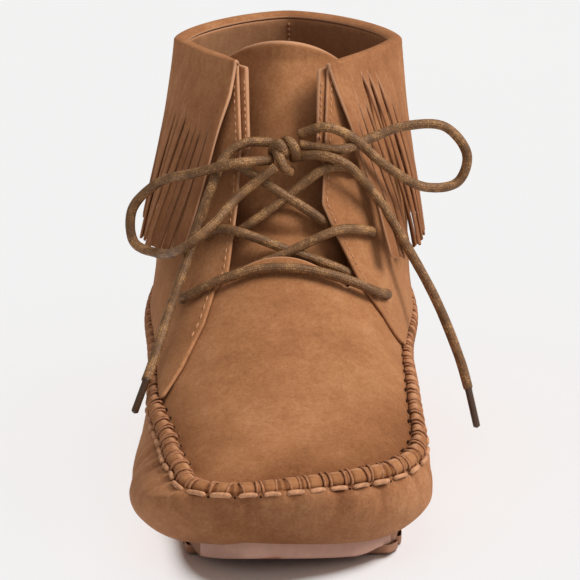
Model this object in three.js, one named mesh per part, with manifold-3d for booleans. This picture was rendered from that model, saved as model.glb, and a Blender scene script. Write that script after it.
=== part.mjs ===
// A left moccasin boot: a suede wrap and plug joined by a raised seam, overlaid quarters with a laced throat,
// a folded cuff cut into a fringe, and a low lugged sole.
// Millimetres, +Z up, toe towards -Y, heel towards +Y, inner side of the foot towards -X, floor at z = 0.
import * as THREE from "three";
import { mergeVertices } from "three/addons/utils/BufferGeometryUtils.js";
import Module from "manifold-3d";

const wasm = await Module();
wasm.setup();

// The whole boot
const BOOT_LENGTH = 250;
const BALL_WIDTH = 98.6;
const INSTEP_HEIGHT = 76;
const COLLAR_HEIGHT = 139;
const COLLAR_WIDTH = 74.5;
const COLLAR_LENGTH = 95;
const TOE_OFFSET = -13.2; // the tip of the toe lies on the inner side of the boot's middle
const SHAFT_OFFSET = 2.2;
const WRAP_BULGE = 15.5; // height of the widest line above the sole
const ANKLE_BLEND = 9;

// Walls and the gap between pieces that meet
const GAP = 0.3;
const FACET_TOLERANCE = 0.1;
const UPPER_WALL = 1.8;
const QUARTER_WALL = 1.3;
const LASTING_MARGIN = 9;

// Sole
const SOLE_INSET = 10.5;
const INNER_TUCK = 8; // how much further in the sole lies on the inner side of the forefoot
const FOREFOOT_SOLE = 5.2;
const HEEL_SOLE = 9.5;
const TOE_SPRING = 11.2;
const HEEL_BEVEL = 2.5;
const ARCH_RISE = 1.8;
const LUG_DEPTH = 2.4;
const LUG_PITCH = 11;
const LUG_GROOVE = 4.2;
const LUG_PROUD = 0.9;
const SOLE_CUP = 1.8;
const INSOLE_THICKNESS = 2.4;
const INSOLE_INSET = 14;

// Moccasin seam
const SEAM_WIDTH = 5.4;
const SEAM_RISE = 2.4;

// Throat and tongue
const THROAT_FLOOR = 70.5;
const THROAT_ARCH = 4.7; // rise of the plug's top edge from the facings to its middle
const UNDERLAP = 1.4;
const THROAT_REACH = 45; // how far back the cut between the facings goes
const TONGUE_THICKNESS = 2.4;
const TONGUE_WIDTH = 42;
const TONGUE_TOP = 146;
const TONGUE_CROWN = 10;
const TONGUE_FOOT = 67;
const TONGUE_NOSE = 12;

// Cuff and fringe
const CUFF_WALL = 1.4;
const CUFF_FOLD = 2.4;
const CUFF_TURN_IN = 9;
const SLIT_START = 13;
const FRINGE_END = 72;
const FRINGE_FLARE = 3.6;
const STRIP_PITCH = 5.4;
const SLIT_WIDTH = 0.9;
const STRIP_WALL = 1.1;

// Lace
const LACE_DIAMETER = 3.4;
const LACE_HOLE = 4.6;
const AGLET_DIAMETER = 2.5;

const QUARTER_IN = GAP;
const QUARTER_OUT = QUARTER_IN + QUARTER_WALL;
const CUFF_IN = QUARTER_OUT + GAP;
const CUFF_OUT = CUFF_IN + CUFF_WALL;

// Foot of the form, toe to heel. at: share of the boot's length from its middle; width: share of the ball's
// width; middle: share of the toe's offset; top: share of the instep's height; inner and outer: how square the
// section's upper half is on each side.
const FOOT_SHARES = [
  { at: -0.5, width: 1, middle: 1, top: 0.45, inner: 1.75, outer: 2.3 },
  { at: -0.42, width: 1, middle: 0.24, top: 0.53, inner: 1.75, outer: 2.5 },
  { at: -0.34, width: 1, middle: 0, top: 0.6, inner: 1.75, outer: 2.7 },
  { at: -0.24, width: 0.995, middle: 0, top: 0.725, inner: 1.85, outer: 2.5 },
  { at: -0.12, width: 0.955, middle: 0, top: 0.895, inner: 2.1, outer: 2.3 },
  { at: 0, width: 0.92, middle: 0.02, top: 1, inner: 2.4, outer: 2.3 },
  { at: 0.12, width: 0.912, middle: 0.02, top: 0.99, inner: 2.4, outer: 2.4 },
  { at: 0.24, width: 0.862, middle: 0, top: 0.87, inner: 2.4, outer: 2.4 },
  { at: 0.34, width: 0.781, middle: -0.03, top: 0.76, inner: 2.4, outer: 2.4 },
  { at: 0.5, width: 0.781, middle: -0.05, top: 0.62, inner: 2.4, outer: 2.4 },
];
const FOOT = FOOT_SHARES.map((row) => ({
  ...row,
  width: row.width * BALL_WIDTH,
  middle: row.middle * TOE_OFFSET,
  top: row.top * INSTEP_HEIGHT,
}));

// Shaft of the form, floor to collar. at: share of the collar's height; front, back and widest: places along the
// boot as shares of its length; width: share of the collar's width; middle: share of the shaft's offset; round and
// point shape the front of the section, from an ellipse low down to a wedge at the collar; rear shapes its back,
// which comes to a blunt point at the collar's back seam.
const COLLAR_BACK = 0.424;
const COLLAR_FRONT = COLLAR_BACK - COLLAR_LENGTH / BOOT_LENGTH;
const SHAFT_SHARES = [
  {
    at: 0, middle: 0, front: -0.18, back: 0.46, widest: 0.16,
    width: 1.075, round: 2, point: 2, rear: 2.2,
  },
  {
    at: 0.18, middle: 0, front: -0.18, back: 0.486, widest: 0.17,
    width: 1.13, round: 2, point: 2, rear: 2.2,
  },
  {
    at: 0.36, middle: 0, front: -0.16, back: 0.484, widest: 0.18,
    width: 1.17, round: 2, point: 2, rear: 2.2,
  },
  {
    at: 0.54, middle: 0.2, front: -0.08, back: 0.47, widest: 0.2,
    width: 1.147, round: 2, point: 2, rear: 2.2,
  },
  {
    at: 0.72, middle: 0.6, front: -0.016, back: 0.454, widest: 0.224,
    width: 1.09, round: 1.85, point: 1.7, rear: 2.05,
  },
  {
    at: 0.86, middle: 0.8, front: 0.017, back: 0.438, widest: 0.236,
    width: 1.04, round: 1.7, point: 1.4, rear: 1.8,
  },
  {
    at: 1, middle: 1, front: COLLAR_FRONT, back: COLLAR_BACK, widest: 0.248,
    width: 1, round: 1.5, point: 1.15, rear: 1.55,
  },
  {
    at: 1.16, middle: 1, front: COLLAR_FRONT + 0.015, back: 0.416, widest: 0.248,
    width: 0.97, round: 1.5, point: 1.15, rear: 1.5,
  },
];
const SHAFT = SHAFT_SHARES.map((row) => ({
  ...row,
  middle: row.middle * SHAFT_OFFSET,
  front: row.front * BOOT_LENGTH,
  back: row.back * BOOT_LENGTH,
  widest: row.widest * BOOT_LENGTH,
  width: row.width * COLLAR_WIDTH,
}));

// Height of the moccasin seam along the boot on each side, as shares of the collar's height.
const SEAM_LINE = [
  { at: -0.5, inner: 0.232, outer: 0.24 },
  { at: -0.46, inner: 0.234, outer: 0.24 },
  { at: -0.42, inner: 0.246, outer: 0.242 },
  { at: -0.34, inner: 0.258, outer: 0.255 },
  { at: -0.28, inner: 0.269, outer: 0.275 },
  { at: -0.2, inner: 0.283, outer: 0.3 },
  { at: -0.08, inner: 0.315, outer: 0.322 },
  { at: 0.08, inner: 0.335, outer: 0.335 },
  { at: 0.24, inner: 0.35, outer: 0.35 },
  { at: 0.5, inner: 0.36, outer: 0.36 },
];

// Edges of the facings seen from the front, top to bottom: height as a share of the collar's height, and how far
// each edge stands from the boot's middle as a share of the ball's width.
const FACING = [
  { height: 1.16, inner: 0.142, outer: 0.15 },
  { height: 1.0, inner: 0.142, outer: 0.15 },
  { height: 0.81, inner: 0.132, outer: 0.143 },
  { height: 0.69, inner: 0.145, outer: 0.135 },
  { height: 0.62, inner: 0.159, outer: 0.18 },
  { height: 0.535, inner: 0.178, outer: 0.242 },
  { height: 0.5, inner: 0.222, outer: 0.27 },
  { height: 0.44, inner: 0.256, outer: 0.334 },
  { height: 0.36, inner: 0.327, outer: 0.405 },
  { height: 0.3, inner: 0.391, outer: 0.447 },
  { height: 0.24, inner: 0.44, outer: 0.48 },
];

// Front edges of the cuff, in the same shares.
const CUFF_EDGE = [
  { height: 1.16, inner: 0.144, outer: 0.15 },
  { height: 1.0, inner: 0.144, outer: 0.15 },
  { height: 0.92, inner: 0.158, outer: 0.182 },
  { height: 0.8, inner: 0.198, outer: 0.226 },
  { height: 0.65, inner: 0.245, outer: 0.285 },
  { height: 0.5, inner: 0.295, outer: 0.32 },
  { height: 0.42, inner: 0.31, outer: 0.34 },
];

// Lace holes, lowest first, in the same shares.
const LACE_HOLES = [
  { height: 0.462, inner: 0.335, outer: 0.358 },
  { height: 0.604, inner: 0.245, outer: 0.301 },
  { height: 0.748, inner: 0.211, outer: 0.246 },
];

// Value of a table's column between its rows, on a smooth curve through them.
function along(table, column, at) {
  const last = table.length - 1;
  if (at <= table[0].at) return table[0][column];
  if (at >= table[last].at) return table[last][column];
  let i = 0;
  while (at > table[i + 1].at) i++;
  const [a, b] = [table[i], table[i + 1]];
  const slope = (k) => {
    const [p, q] = [table[Math.max(k - 1, 0)], table[Math.min(k + 1, last)]];
    return (q[column] - p[column]) / (q.at - p.at);
  };
  const step = b.at - a.at;
  const t = (at - a.at) / step;
  const [t2, t3] = [t * t, t * t * t];
  return (
    (2 * t3 - 3 * t2 + 1) * a[column] + (t3 - 2 * t2 + t) * step * slope(i) +
    (3 * t2 - 2 * t3) * b[column] + (t3 - t2) * step * slope(i + 1)
  );
}

const clamp = (v, low, high) => Math.min(Math.max(v, low), high);
const smooth = (v, low, high) => {
  const t = clamp((v - low) / (high - low), 0, 1);
  return t * t * (3 - 2 * t);
};
// Share of its full size that a section keeps near a rounded end.
const roundEnd = (reach, power) => Math.max(1 - Math.pow(clamp(reach, 0, 1), power), 0) ** (1 / power);

const FRONT = -0.5 * BOOT_LENGTH;
const BACK = 0.5 * BOOT_LENGTH;
const END_ZONE = 0.16 * BOOT_LENGTH; // length of the toe's and the heel's rounded ends

// Height of the tread's lowest face along the boot.
function treadHeight(y) {
  const toe = Math.max(-0.32 * BOOT_LENGTH - y, 0) / (0.18 * BOOT_LENGTH);
  const heel = Math.max(y - 0.42 * BOOT_LENGTH, 0) / (0.08 * BOOT_LENGTH);
  const arch = clamp((y / BOOT_LENGTH - 0.01) / 0.2, 0, 1);
  return TOE_SPRING * toe * toe + HEEL_BEVEL * heel * heel + ARCH_RISE * Math.sin(Math.PI * arch) ** 2;
}
function soleTop(y) {
  const heel = smooth(y, 0, 0.24 * BOOT_LENGTH);
  return treadHeight(y) + FOREFOOT_SOLE * (1 - heel) + HEEL_SOLE * heel;
}

// Half width of the form's widest line at a place along the boot.
function plan(y) {
  const at = y / BOOT_LENGTH;
  const toe = roundEnd((FRONT + END_ZONE - y) / END_ZONE, 2.1);
  const heel = roundEnd((y - BACK + END_ZONE) / END_ZONE, 2.1);
  return { half: 0.5 * along(FOOT, "width", at) * Math.min(toe, heel), middle: along(FOOT, "middle", at) };
}

// Signed fields of the foot and of the shaft, near millimetres, below zero inside.
const FIELD_SCALE = 37;
const LOWER_POWER = 2.5; // how square the wrap's lower corners are
function footField(x, y, z) {
  const inside = clamp(y, FRONT + 0.05, BACK - 0.05);
  const at = inside / BOOT_LENGTH;
  const { half, middle } = plan(inside);
  const end = Math.min(
    roundEnd((FRONT + END_ZONE - inside) / END_ZONE, 2.4),
    roundEnd((inside - BACK + END_ZONE) / END_ZONE, 2.6),
  );
  const floor = soleTop(inside);
  const widest = floor + WRAP_BULGE;
  const side = Math.abs(x - middle) / half;
  let size;
  if (z > widest) {
    const power = along(FOOT, x < middle ? "inner" : "outer", at);
    const rise = (z - widest) / ((along(FOOT, "top", at) - widest) * end);
    size = Math.pow(side ** power + rise ** power, 1 / power);
  } else {
    const drop = (widest - z) / (WRAP_BULGE * Math.max(end, 0.2));
    size = Math.pow(side ** LOWER_POWER + drop ** LOWER_POWER, 1 / LOWER_POWER);
  }
  return (size - 1) * FIELD_SCALE + Math.abs(y - inside);
}
function shaftField(x, y, z) {
  const at = z / COLLAR_HEIGHT;
  const widest = along(SHAFT, "widest", at);
  const side = Math.abs(x - along(SHAFT, "middle", at)) / (0.5 * along(SHAFT, "width", at));
  let size;
  if (y > widest) {
    const reach = (y - widest) / (along(SHAFT, "back", at) - widest);
    const rear = along(SHAFT, "rear", at);
    size = Math.pow(side ** rear + reach ** rear, 1 / rear);
  } else {
    const reach = (widest - y) / (widest - along(SHAFT, "front", at));
    const [round, point] = [along(SHAFT, "round", at), along(SHAFT, "point", at)];
    size = Math.pow(side ** round + reach ** point, 2 / (round + point));
  }
  return Math.max((size - 1) * FIELD_SCALE, 0.18 * COLLAR_HEIGHT - z);
}
function field(p) {
  const a = footField(p.x, p.y, p.z);
  const b = shaftField(p.x, p.y, p.z);
  const share = clamp(0.5 + (0.5 * (b - a)) / ANKLE_BLEND, 0, 1);
  return b + (a - b) * share - ANKLE_BLEND * share * (1 - share);
}
function normalAt(p) {
  const d = 0.2;
  const at = (x, y, z) => field(new THREE.Vector3(p.x + x, p.y + y, p.z + z));
  return new THREE.Vector3(
    at(d, 0, 0) - at(-d, 0, 0), at(0, d, 0) - at(0, -d, 0), at(0, 0, d) - at(0, 0, -d),
  ).normalize();
}
// First point outwards from an inside point where the form ends.
function surfaceFrom(start, direction) {
  const at = (r) => start.clone().addScaledVector(direction, r);
  let high = 0;
  while (high < 400 && field(at(high)) < 0) high += 3;
  let low = Math.max(high - 3, 0);
  for (let i = 0; i < 24; i++) {
    const middle = 0.5 * (low + high);
    if (field(at(middle)) < 0) low = middle;
    else high = middle;
  }
  return at(low);
}
// First point of the form met from outside.
function surfaceMet(start, direction) {
  let r = 0;
  const at = (s) => start.clone().addScaledVector(direction, s);
  while (r < 500 && field(at(r)) > 0) r += 1.5;
  let [low, high] = [Math.max(r - 1.5, 0), r];
  for (let i = 0; i < 24; i++) {
    const middle = 0.5 * (low + high);
    if (field(at(middle)) > 0) low = middle;
    else high = middle;
  }
  return at(high);
}

// Sections of the form: upright planes across the toe, then planes that fan out about a line above the vamp and
// run round the heel up the shaft.
const HINGE = new THREE.Vector3(0, -0.36 * BOOT_LENGTH, 1.19 * COLLAR_HEIGHT);
const TOE_PLANES = [0.004, 0.04, 0.14, 0.34, 0.64];
const FAN_DEGREES = [0, 7, 14, 21, 28, 34.5, 41, 46.5, 51, 54.5, 59, 65, 72, 81, 90];
const RING_POINTS = 26;
function sectionRing(origin, down) {
  const entry = surfaceMet(origin, down);
  let depth = 0;
  const below = (d) => entry.clone().addScaledVector(down, d);
  while (depth < 400 && field(below(depth + 2)) < 0) depth += 2;
  const centre = below(0.5 * depth);
  const points = [];
  for (let j = 0; j < RING_POINTS; j++) {
    const angle = (2 * Math.PI * j) / RING_POINTS;
    const direction = new THREE.Vector3(Math.cos(angle), 0, 0).addScaledVector(down, Math.sin(angle));
    points.push(surfaceFrom(centre, direction));
  }
  return points;
}
const rings = [];
for (const share of TOE_PLANES) {
  const y = FRONT + share * (HINGE.y - FRONT);
  rings.push(sectionRing(new THREE.Vector3(plan(y).middle, y, HINGE.z), new THREE.Vector3(0, 0, -1)));
}
for (const degrees of FAN_DEGREES) {
  const angle = THREE.MathUtils.degToRad(degrees);
  const middle = THREE.MathUtils.lerp(plan(HINGE.y).middle, SHAFT_OFFSET, smooth(degrees, 0, 30));
  const origin = new THREE.Vector3(middle, HINGE.y, HINGE.z);
  rings.push(sectionRing(origin, new THREE.Vector3(0, Math.sin(angle), -Math.cos(angle))));
}
const ringNormals = rings.map((ring) => ring.map(normalAt));

function solidFrom(points, triangles) {
  const make = (list) => new wasm.Manifold(new wasm.Mesh({
    numProp: 3,
    vertProperties: new Float32Array(points.flatMap((p) => [p.x, p.y, p.z])),
    triVerts: new Uint32Array(list.flat()),
  }));
  const solid = make(triangles);
  return solid.volume() < 0 ? make(triangles.map(([a, b, c]) => [a, c, b])) : solid;
}
function solidOf(geometry) {
  const bare = geometry.clone();
  bare.deleteAttribute("normal");
  bare.deleteAttribute("uv");
  const merged = mergeVertices(bare, 1e-4);
  const position = merged.getAttribute("position");
  const vertex = (_, i) => new THREE.Vector3().fromBufferAttribute(position, i);
  const points = Array.from({ length: position.count }, vertex);
  const index = merged.index ? Array.from(merged.index.array) : points.map((_, i) => i);
  const triangles = Array.from({ length: index.length / 3 }, (_, i) => index.slice(3 * i, 3 * i + 3));
  return solidFrom(points, triangles);
}
const joined = (solids) => solids.reduce((all, one) => all.add(one));
const largest = (solid) => solid.decompose().reduce((a, b) => (a.volume() > b.volume() ? a : b));

// Closed solid of the form grown by a distance, which may change from point to point.
function form(growth) {
  const grow = typeof growth === "function" ? growth : () => growth;
  const grown = (p, i, j) => p.clone().addScaledVector(ringNormals[i][j], grow(p));
  const points = rings.flatMap((ring, i) => ring.map((p, j) => grown(p, i, j)));
  const triangles = [];
  const last = rings.length - 1;
  for (let i = 0; i < last; i++) {
    for (let j = 0; j < RING_POINTS; j++) {
      const k = (j + 1) % RING_POINTS;
      const [a, b] = [i * RING_POINTS + j, i * RING_POINTS + k];
      triangles.push([a, b, b + RING_POINTS], [a, b + RING_POINTS, a + RING_POINTS]);
    }
  }
  for (const [i, flip] of [[0, true], [last, false]]) {
    const tip = points.length;
    const ring = points.slice(i * RING_POINTS, (i + 1) * RING_POINTS);
    points.push(ring.reduce((sum, p) => sum.add(p), new THREE.Vector3()).divideScalar(RING_POINTS));
    for (let j = 0; j < RING_POINTS; j++) {
      const [a, b] = [i * RING_POINTS + j, i * RING_POINTS + ((j + 1) % RING_POINTS)];
      triangles.push(flip ? [b, a, tip] : [a, b, tip]);
    }
  }
  return solidFrom(points, triangles);
}

// Prism of a flat outline between two places along one axis: "x" takes (y, z) outlines, "y" (x, z), "z" (x, y).
function prism(axis, outline, from, to) {
  const shape = new THREE.Shape(outline.map(([u, v]) => new THREE.Vector2(u, v)));
  const geometry = new THREE.ExtrudeGeometry(shape, { depth: to - from, bevelEnabled: false });
  const [x, y, z] = [new THREE.Vector3(1, 0, 0), new THREE.Vector3(0, 1, 0), new THREE.Vector3(0, 0, 1)];
  const basis = new THREE.Matrix4();
  if (axis === "x") basis.makeBasis(y, z, x).setPosition(from, 0, 0);
  else if (axis === "y") basis.makeBasis(x, z, y).setPosition(0, from, 0);
  else basis.makeBasis(x, y, z).setPosition(0, 0, from);
  return solidOf(geometry.applyMatrix4(basis));
}

// Plate between two heights that change along the boot, inside the widest line by an inset.
function plate(inset, lower, upper, rowCount = 20) {
  const points = [];
  const triangles = [];
  const across = [-1, -0.5, 0, 0.5, 1];
  const [from, to] = [FRONT + inset, BACK - inset];
  for (let i = 0; i <= rowCount; i++) {
    const y = 0.5 * (from + to) - 0.5 * (to - from) * Math.cos((Math.PI * i) / rowCount);
    // The place on the widest line whose inward offset lands on this row
    const outside = y * (BOOT_LENGTH / (to - from));
    const { half, middle } = plan(outside);
    const outer = Math.max(half - inset * smooth(half, 0, 2 * inset), 0.4);
    const tuck = INNER_TUCK * (1 - smooth(y, -0.36 * BOOT_LENGTH, -0.1 * BOOT_LENGTH));
    const inner = Math.max(outer - tuck * smooth(half, 0, 2 * inset), 0.4);
    for (const height of [lower, upper]) {
      for (const share of across) {
        points.push(new THREE.Vector3(middle + share * (share < 0 ? inner : outer), y, height(y)));
      }
    }
  }
  const n = across.length;
  const at = (i, level, j) => i * 2 * n + level * n + j;
  const quad = (a, b, c, d) => triangles.push([a, b, c], [a, c, d]);
  for (let i = 0; i < rowCount; i++) {
    for (let j = 0; j < n - 1; j++) {
      quad(at(i, 1, j), at(i, 1, j + 1), at(i + 1, 1, j + 1), at(i + 1, 1, j));
      quad(at(i, 0, j), at(i + 1, 0, j), at(i + 1, 0, j + 1), at(i, 0, j + 1));
    }
    quad(at(i, 0, 0), at(i, 1, 0), at(i + 1, 1, 0), at(i + 1, 0, 0));
    quad(at(i, 1, n - 1), at(i, 0, n - 1), at(i + 1, 0, n - 1), at(i + 1, 1, n - 1));
  }
  for (let j = 0; j < n - 1; j++) {
    quad(at(0, 0, j), at(0, 0, j + 1), at(0, 1, j + 1), at(0, 1, j));
    quad(at(rowCount, 1, j), at(rowCount, 1, j + 1), at(rowCount, 0, j + 1), at(rowCount, 0, j));
  }
  return solidFrom(points, triangles);
}

// Height of the seam at a place along the boot; across runs from -1 on the inner side to 1 on the outer side.
function seamHeight(y, across) {
  const inner = along(SEAM_LINE, "inner", y / BOOT_LENGTH);
  const outer = along(SEAM_LINE, "outer", y / BOOT_LENGTH);
  return COLLAR_HEIGHT * (inner + (outer - inner) * smooth(across, -0.7, 0.7));
}

// Outline between the two edges of such a table, seen from the front, set back by a distance and cut off at a floor.
function frontOutline(table, setBack, floor) {
  const rows = table.filter((row) => row.height * COLLAR_HEIGHT > floor);
  const edge = (row, side) => [
    side === "inner" ? -row.inner * BALL_WIDTH - setBack : row.outer * BALL_WIDTH + setBack,
    row.height * COLLAR_HEIGHT,
  ];
  const arch = floor > 0 ? [-0.14, -0.07, 0, 0.07, 0.14].map((share) => {
    return [share * BALL_WIDTH, floor + THROAT_ARCH * (1 - (share / 0.22) ** 2)];
  }) : [];
  const atFloor = (side) => {
    const below = table.find((row) => row.height * COLLAR_HEIGHT <= floor);
    const above = rows[rows.length - 1];
    if (!below) return [];
    const t = (floor / COLLAR_HEIGHT - below.height) / (above.height - below.height);
    const share = below[side] + t * (above[side] - below[side]);
    return [[side === "inner" ? -share * BALL_WIDTH - setBack : share * BALL_WIDTH + setBack, floor]];
  };
  return [
    ...rows.map((row) => edge(row, "inner")), ...atFloor("inner"), ...arch,
    ...atFloor("outer"), ...rows.map((row) => edge(row, "outer")).reverse(),
  ];
}

const WIDE = BALL_WIDTH;
const FIELD_PLAN = [[-WIDE, 2 * FRONT], [WIDE, 2 * FRONT], [WIDE, 2 * BACK], [-WIDE, 2 * BACK]];
const above = (height) => prism("z", FIELD_PLAN, height, 2 * COLLAR_HEIGHT);

// Upper: wrap, plug and inner shaft in one wall
function upper() {
  const wall = form(0).subtract(form(-UPPER_WALL)).subtract(above(COLLAR_HEIGHT));
  const throat = prism("y", frontOutline(FACING, UNDERLAP, THROAT_FLOOR), 2 * FRONT, THROAT_REACH);
  const underside = plate(SOLE_INSET + LASTING_MARGIN, () => -5, (y) => soleTop(y) + UPPER_WALL + 1, 12);
  return largest(wall.subtract(throat).subtract(underside).subtract(holes));
}

function insole() {
  const lower = (y) => soleTop(y) + UPPER_WALL + GAP;
  const slab = plate(INSOLE_INSET, lower, (y) => lower(y) + INSOLE_THICKNESS, 12);
  return largest(slab.intersect(form(-UPPER_WALL - GAP)));
}

// Outsole: a slab that cups the wrap, with lugs below that run out through its side
function outsole() {
  const slab = plate(SOLE_INSET, (y) => treadHeight(y) + LUG_DEPTH, (y) => soleTop(y) + SOLE_CUP);
  let tread = plate(SOLE_INSET - LUG_PROUD, treadHeight, (y) => treadHeight(y) + LUG_DEPTH + 1);
  const grooves = [];
  const count = Math.floor((BOOT_LENGTH - 4 * SOLE_INSET) / LUG_PITCH);
  for (let i = 0; i < count; i++) {
    const y = (i - 0.5 * (count - 1)) * LUG_PITCH;
    const top = Math.min(treadHeight(y - 0.5 * LUG_GROOVE), treadHeight(y + 0.5 * LUG_GROOVE)) + LUG_DEPTH;
    const [mouth, root] = [0.5 * LUG_GROOVE, 0.3 * LUG_GROOVE];
    const slot = [[y - mouth, -10], [y + mouth, -10], [y + root, top], [y - root, top]];
    grooves.push(prism("x", slot, -WIDE, WIDE));
  }
  tread = tread.subtract(joined(grooves));
  return largest(slab.add(tread).subtract(form(GAP)));
}

// Point of the form seen from the front, grown along its normal
function onFront(x, z, growth) {
  const p = surfaceMet(new THREE.Vector3(x, 1.2 * FRONT, z), new THREE.Vector3(0, 1, 0));
  return p.addScaledVector(normalAt(p), growth);
}
const edgeX = (row, side) => (side === "inner" ? -1 : 1) * row[side] * BALL_WIDTH;
const onRow = (row, side, shift, growth) => onFront(edgeX(row, side) + shift, row.height * COLLAR_HEIGHT, growth);

function tube(points, diameter, steps, sides = 6) {
  const section = new THREE.Shape();
  for (let j = 0; j < sides; j++) {
    const angle = (2 * Math.PI * j) / sides;
    const [u, v] = [0.5 * diameter * Math.cos(angle), 0.5 * diameter * Math.sin(angle)];
    if (j === 0) section.moveTo(u, v);
    else section.lineTo(u, v);
  }
  const path = new THREE.CatmullRomCurve3(points, false, "centripetal");
  return solidOf(new THREE.ExtrudeGeometry(section, { extrudePath: path, steps, bevelEnabled: false }));
}

function laceHoles(diameter) {
  return joined(LACE_HOLES.flatMap((row) => ["inner", "outer"].map((side) => {
    const reach = UPPER_WALL + QUARTER_OUT + 2;
    return tube([onRow(row, side, 0, -reach), onRow(row, side, 0, reach)], diameter, 1, 8);
  })));
}
const holes = laceHoles(LACE_HOLE);

// Quarters: the shaft's overlaid sides above the seam, open between the facings
function quarters() {
  const wall = form(QUARTER_OUT).subtract(form(QUARTER_IN)).subtract(above(COLLAR_HEIGHT));
  const belowSeam = (across) => {
    const line = [-0.5, -0.42, -0.34, -0.28, -0.2, -0.08, 0.08, 0.24, 0.5].map((at) => {
      const y = at * BOOT_LENGTH;
      return [y, seamHeight(y, across) + 0.5 * SEAM_WIDTH + GAP];
    });
    const last = line[line.length - 1][1];
    return [[2 * FRONT, -50], [2 * FRONT, line[0][1]], ...line, [2 * BACK, last], [2 * BACK, -50]];
  };
  return wall
    .subtract(prism("x", belowSeam(-1), -WIDE, 0))
    .subtract(prism("x", belowSeam(1), 0, WIDE))
    .subtract(prism("y", frontOutline(FACING, 0, 0), 2 * FRONT, THROAT_REACH))
    .subtract(holes);
}
const TALL = 2 * COLLAR_HEIGHT;
const SIDE_VIEW = [[2 * FRONT, -9], [2 * BACK, -9], [2 * BACK, TALL], [2 * FRONT, TALL]];
const half = (x0, x1) => prism("x", SIDE_VIEW, x0, x1);

// Points of the form's side at a height that follows a line round the whole boot
function roundBoot(heightAt, sideSteps, endSteps) {
  const [front, back] = [FRONT + END_ZONE, BACK - END_ZONE];
  const points = [];
  const cast = (y, direction) => {
    const start = new THREE.Vector3(plan(y).middle, y, heightAt(y, direction.x));
    for (let i = 0; i < 3; i++) start.z = heightAt(surfaceFrom(start, direction).y, direction.x);
    points.push(surfaceFrom(start, direction));
  };
  for (let i = 0; i < sideSteps; i++) cast(back + ((front - back) * i) / sideSteps, new THREE.Vector3(-1, 0, 0));
  for (let i = 0; i < endSteps; i++) {
    const angle = (Math.PI * i) / endSteps;
    cast(front, new THREE.Vector3(-Math.cos(angle), -Math.sin(angle), 0));
  }
  for (let i = 0; i < sideSteps; i++) cast(front + ((back - front) * i) / sideSteps, new THREE.Vector3(1, 0, 0));
  for (let i = 0; i < endSteps; i++) {
    const angle = (Math.PI * i) / endSteps;
    cast(back, new THREE.Vector3(Math.cos(angle), Math.sin(angle), 0));
  }
  return points;
}

// Closed tube round a ring of points, oval: wide along the form's skin and standing off it
function ovalRing(centres, width, rise) {
  const sides = 6;
  const points = [];
  const triangles = [];
  const n = centres.length;
  centres.forEach((p, i) => {
    const run = centres[(i + 1) % n].clone().sub(centres[(i + n - 1) % n]).normalize();
    const out = normalAt(p);
    out.addScaledVector(run, -out.dot(run)).normalize();
    const up = new THREE.Vector3().crossVectors(run, out);
    for (let j = 0; j < sides; j++) {
      const angle = (2 * Math.PI * (j + 0.5)) / sides;
      const rim = p.clone().addScaledVector(up, 0.5 * width * Math.cos(angle));
      points.push(rim.addScaledVector(out, rise * Math.sin(angle)));
    }
  });
  for (let i = 0; i < n; i++) {
    for (let j = 0; j < sides; j++) {
      const [k, m] = [(i + 1) % n, (j + 1) % sides];
      const [a, b, c, d] = [i * sides + j, k * sides + j, k * sides + m, i * sides + m];
      triangles.push([a, b, c], [a, c, d]);
    }
  }
  return solidFrom(points, triangles);
}
function moccasinSeam() {
  const roll = ovalRing(roundBoot(seamHeight, 8, 9), SEAM_WIDTH, SEAM_RISE + GAP);
  return largest(roll.subtract(form(GAP)));
}

// Tongue: follows the form's inner face, rounded across its middle and set back so that the lace fits before it
function tongue() {
  const [rows, columns] = [12, 8];
  const points = [];
  const triangles = [];
  for (let i = 0; i <= rows; i++) {
    const t = i / rows;
    for (let j = 0; j <= columns; j++) {
      const share = (2 * j) / columns - 1;
      const z = TONGUE_FOOT + (TONGUE_TOP - TONGUE_CROWN * share * share - TONGUE_FOOT) * t;
      const onForm = Math.min(z, COLLAR_HEIGHT);
      const middle = along(SHAFT, "middle", onForm / COLLAR_HEIGHT);
      const x = 0.5 * share * TONGUE_WIDTH;
      const nosed = Math.sqrt(x * x + TONGUE_NOSE ** 2 * smooth(t, 0, 0.5));
      const skin = onFront(middle + (x < 0 ? -1 : 1) * nosed, onForm, 0);
      const steep = Math.max(-normalAt(skin).y, 0.45);
      const set = UPPER_WALL + 4 * GAP + (LACE_DIAMETER + 2 * GAP) * smooth(t, -0.04, 0.1);
      for (const depth of [set, set + TONGUE_THICKNESS]) {
        points.push(new THREE.Vector3(middle + x, skin.y + depth / steep, z));
      }
    }
  }
  const at = (i, j, level) => 2 * (i * (columns + 1) + j) + level;
  const quad = (a, b, c, d) => triangles.push([a, b, c], [a, c, d]);
  for (let i = 0; i < rows; i++) {
    for (let j = 0; j < columns; j++) {
      quad(at(i, j, 0), at(i, j + 1, 0), at(i + 1, j + 1, 0), at(i + 1, j, 0));
      quad(at(i, j, 1), at(i + 1, j, 1), at(i + 1, j + 1, 1), at(i, j + 1, 1));
    }
    quad(at(i, 0, 0), at(i + 1, 0, 0), at(i + 1, 0, 1), at(i, 0, 1));
    quad(at(i, columns, 0), at(i, columns, 1), at(i + 1, columns, 1), at(i + 1, columns, 0));
  }
  for (let j = 0; j < columns; j++) {
    quad(at(0, j, 0), at(0, j, 1), at(0, j + 1, 1), at(0, j + 1, 0));
    quad(at(rows, j, 0), at(rows, j + 1, 0), at(rows, j + 1, 1), at(rows, j, 1));
  }
  return largest(solidFrom(points, triangles).subtract(form(0).subtract(form(-UPPER_WALL - GAP))));
}

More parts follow.
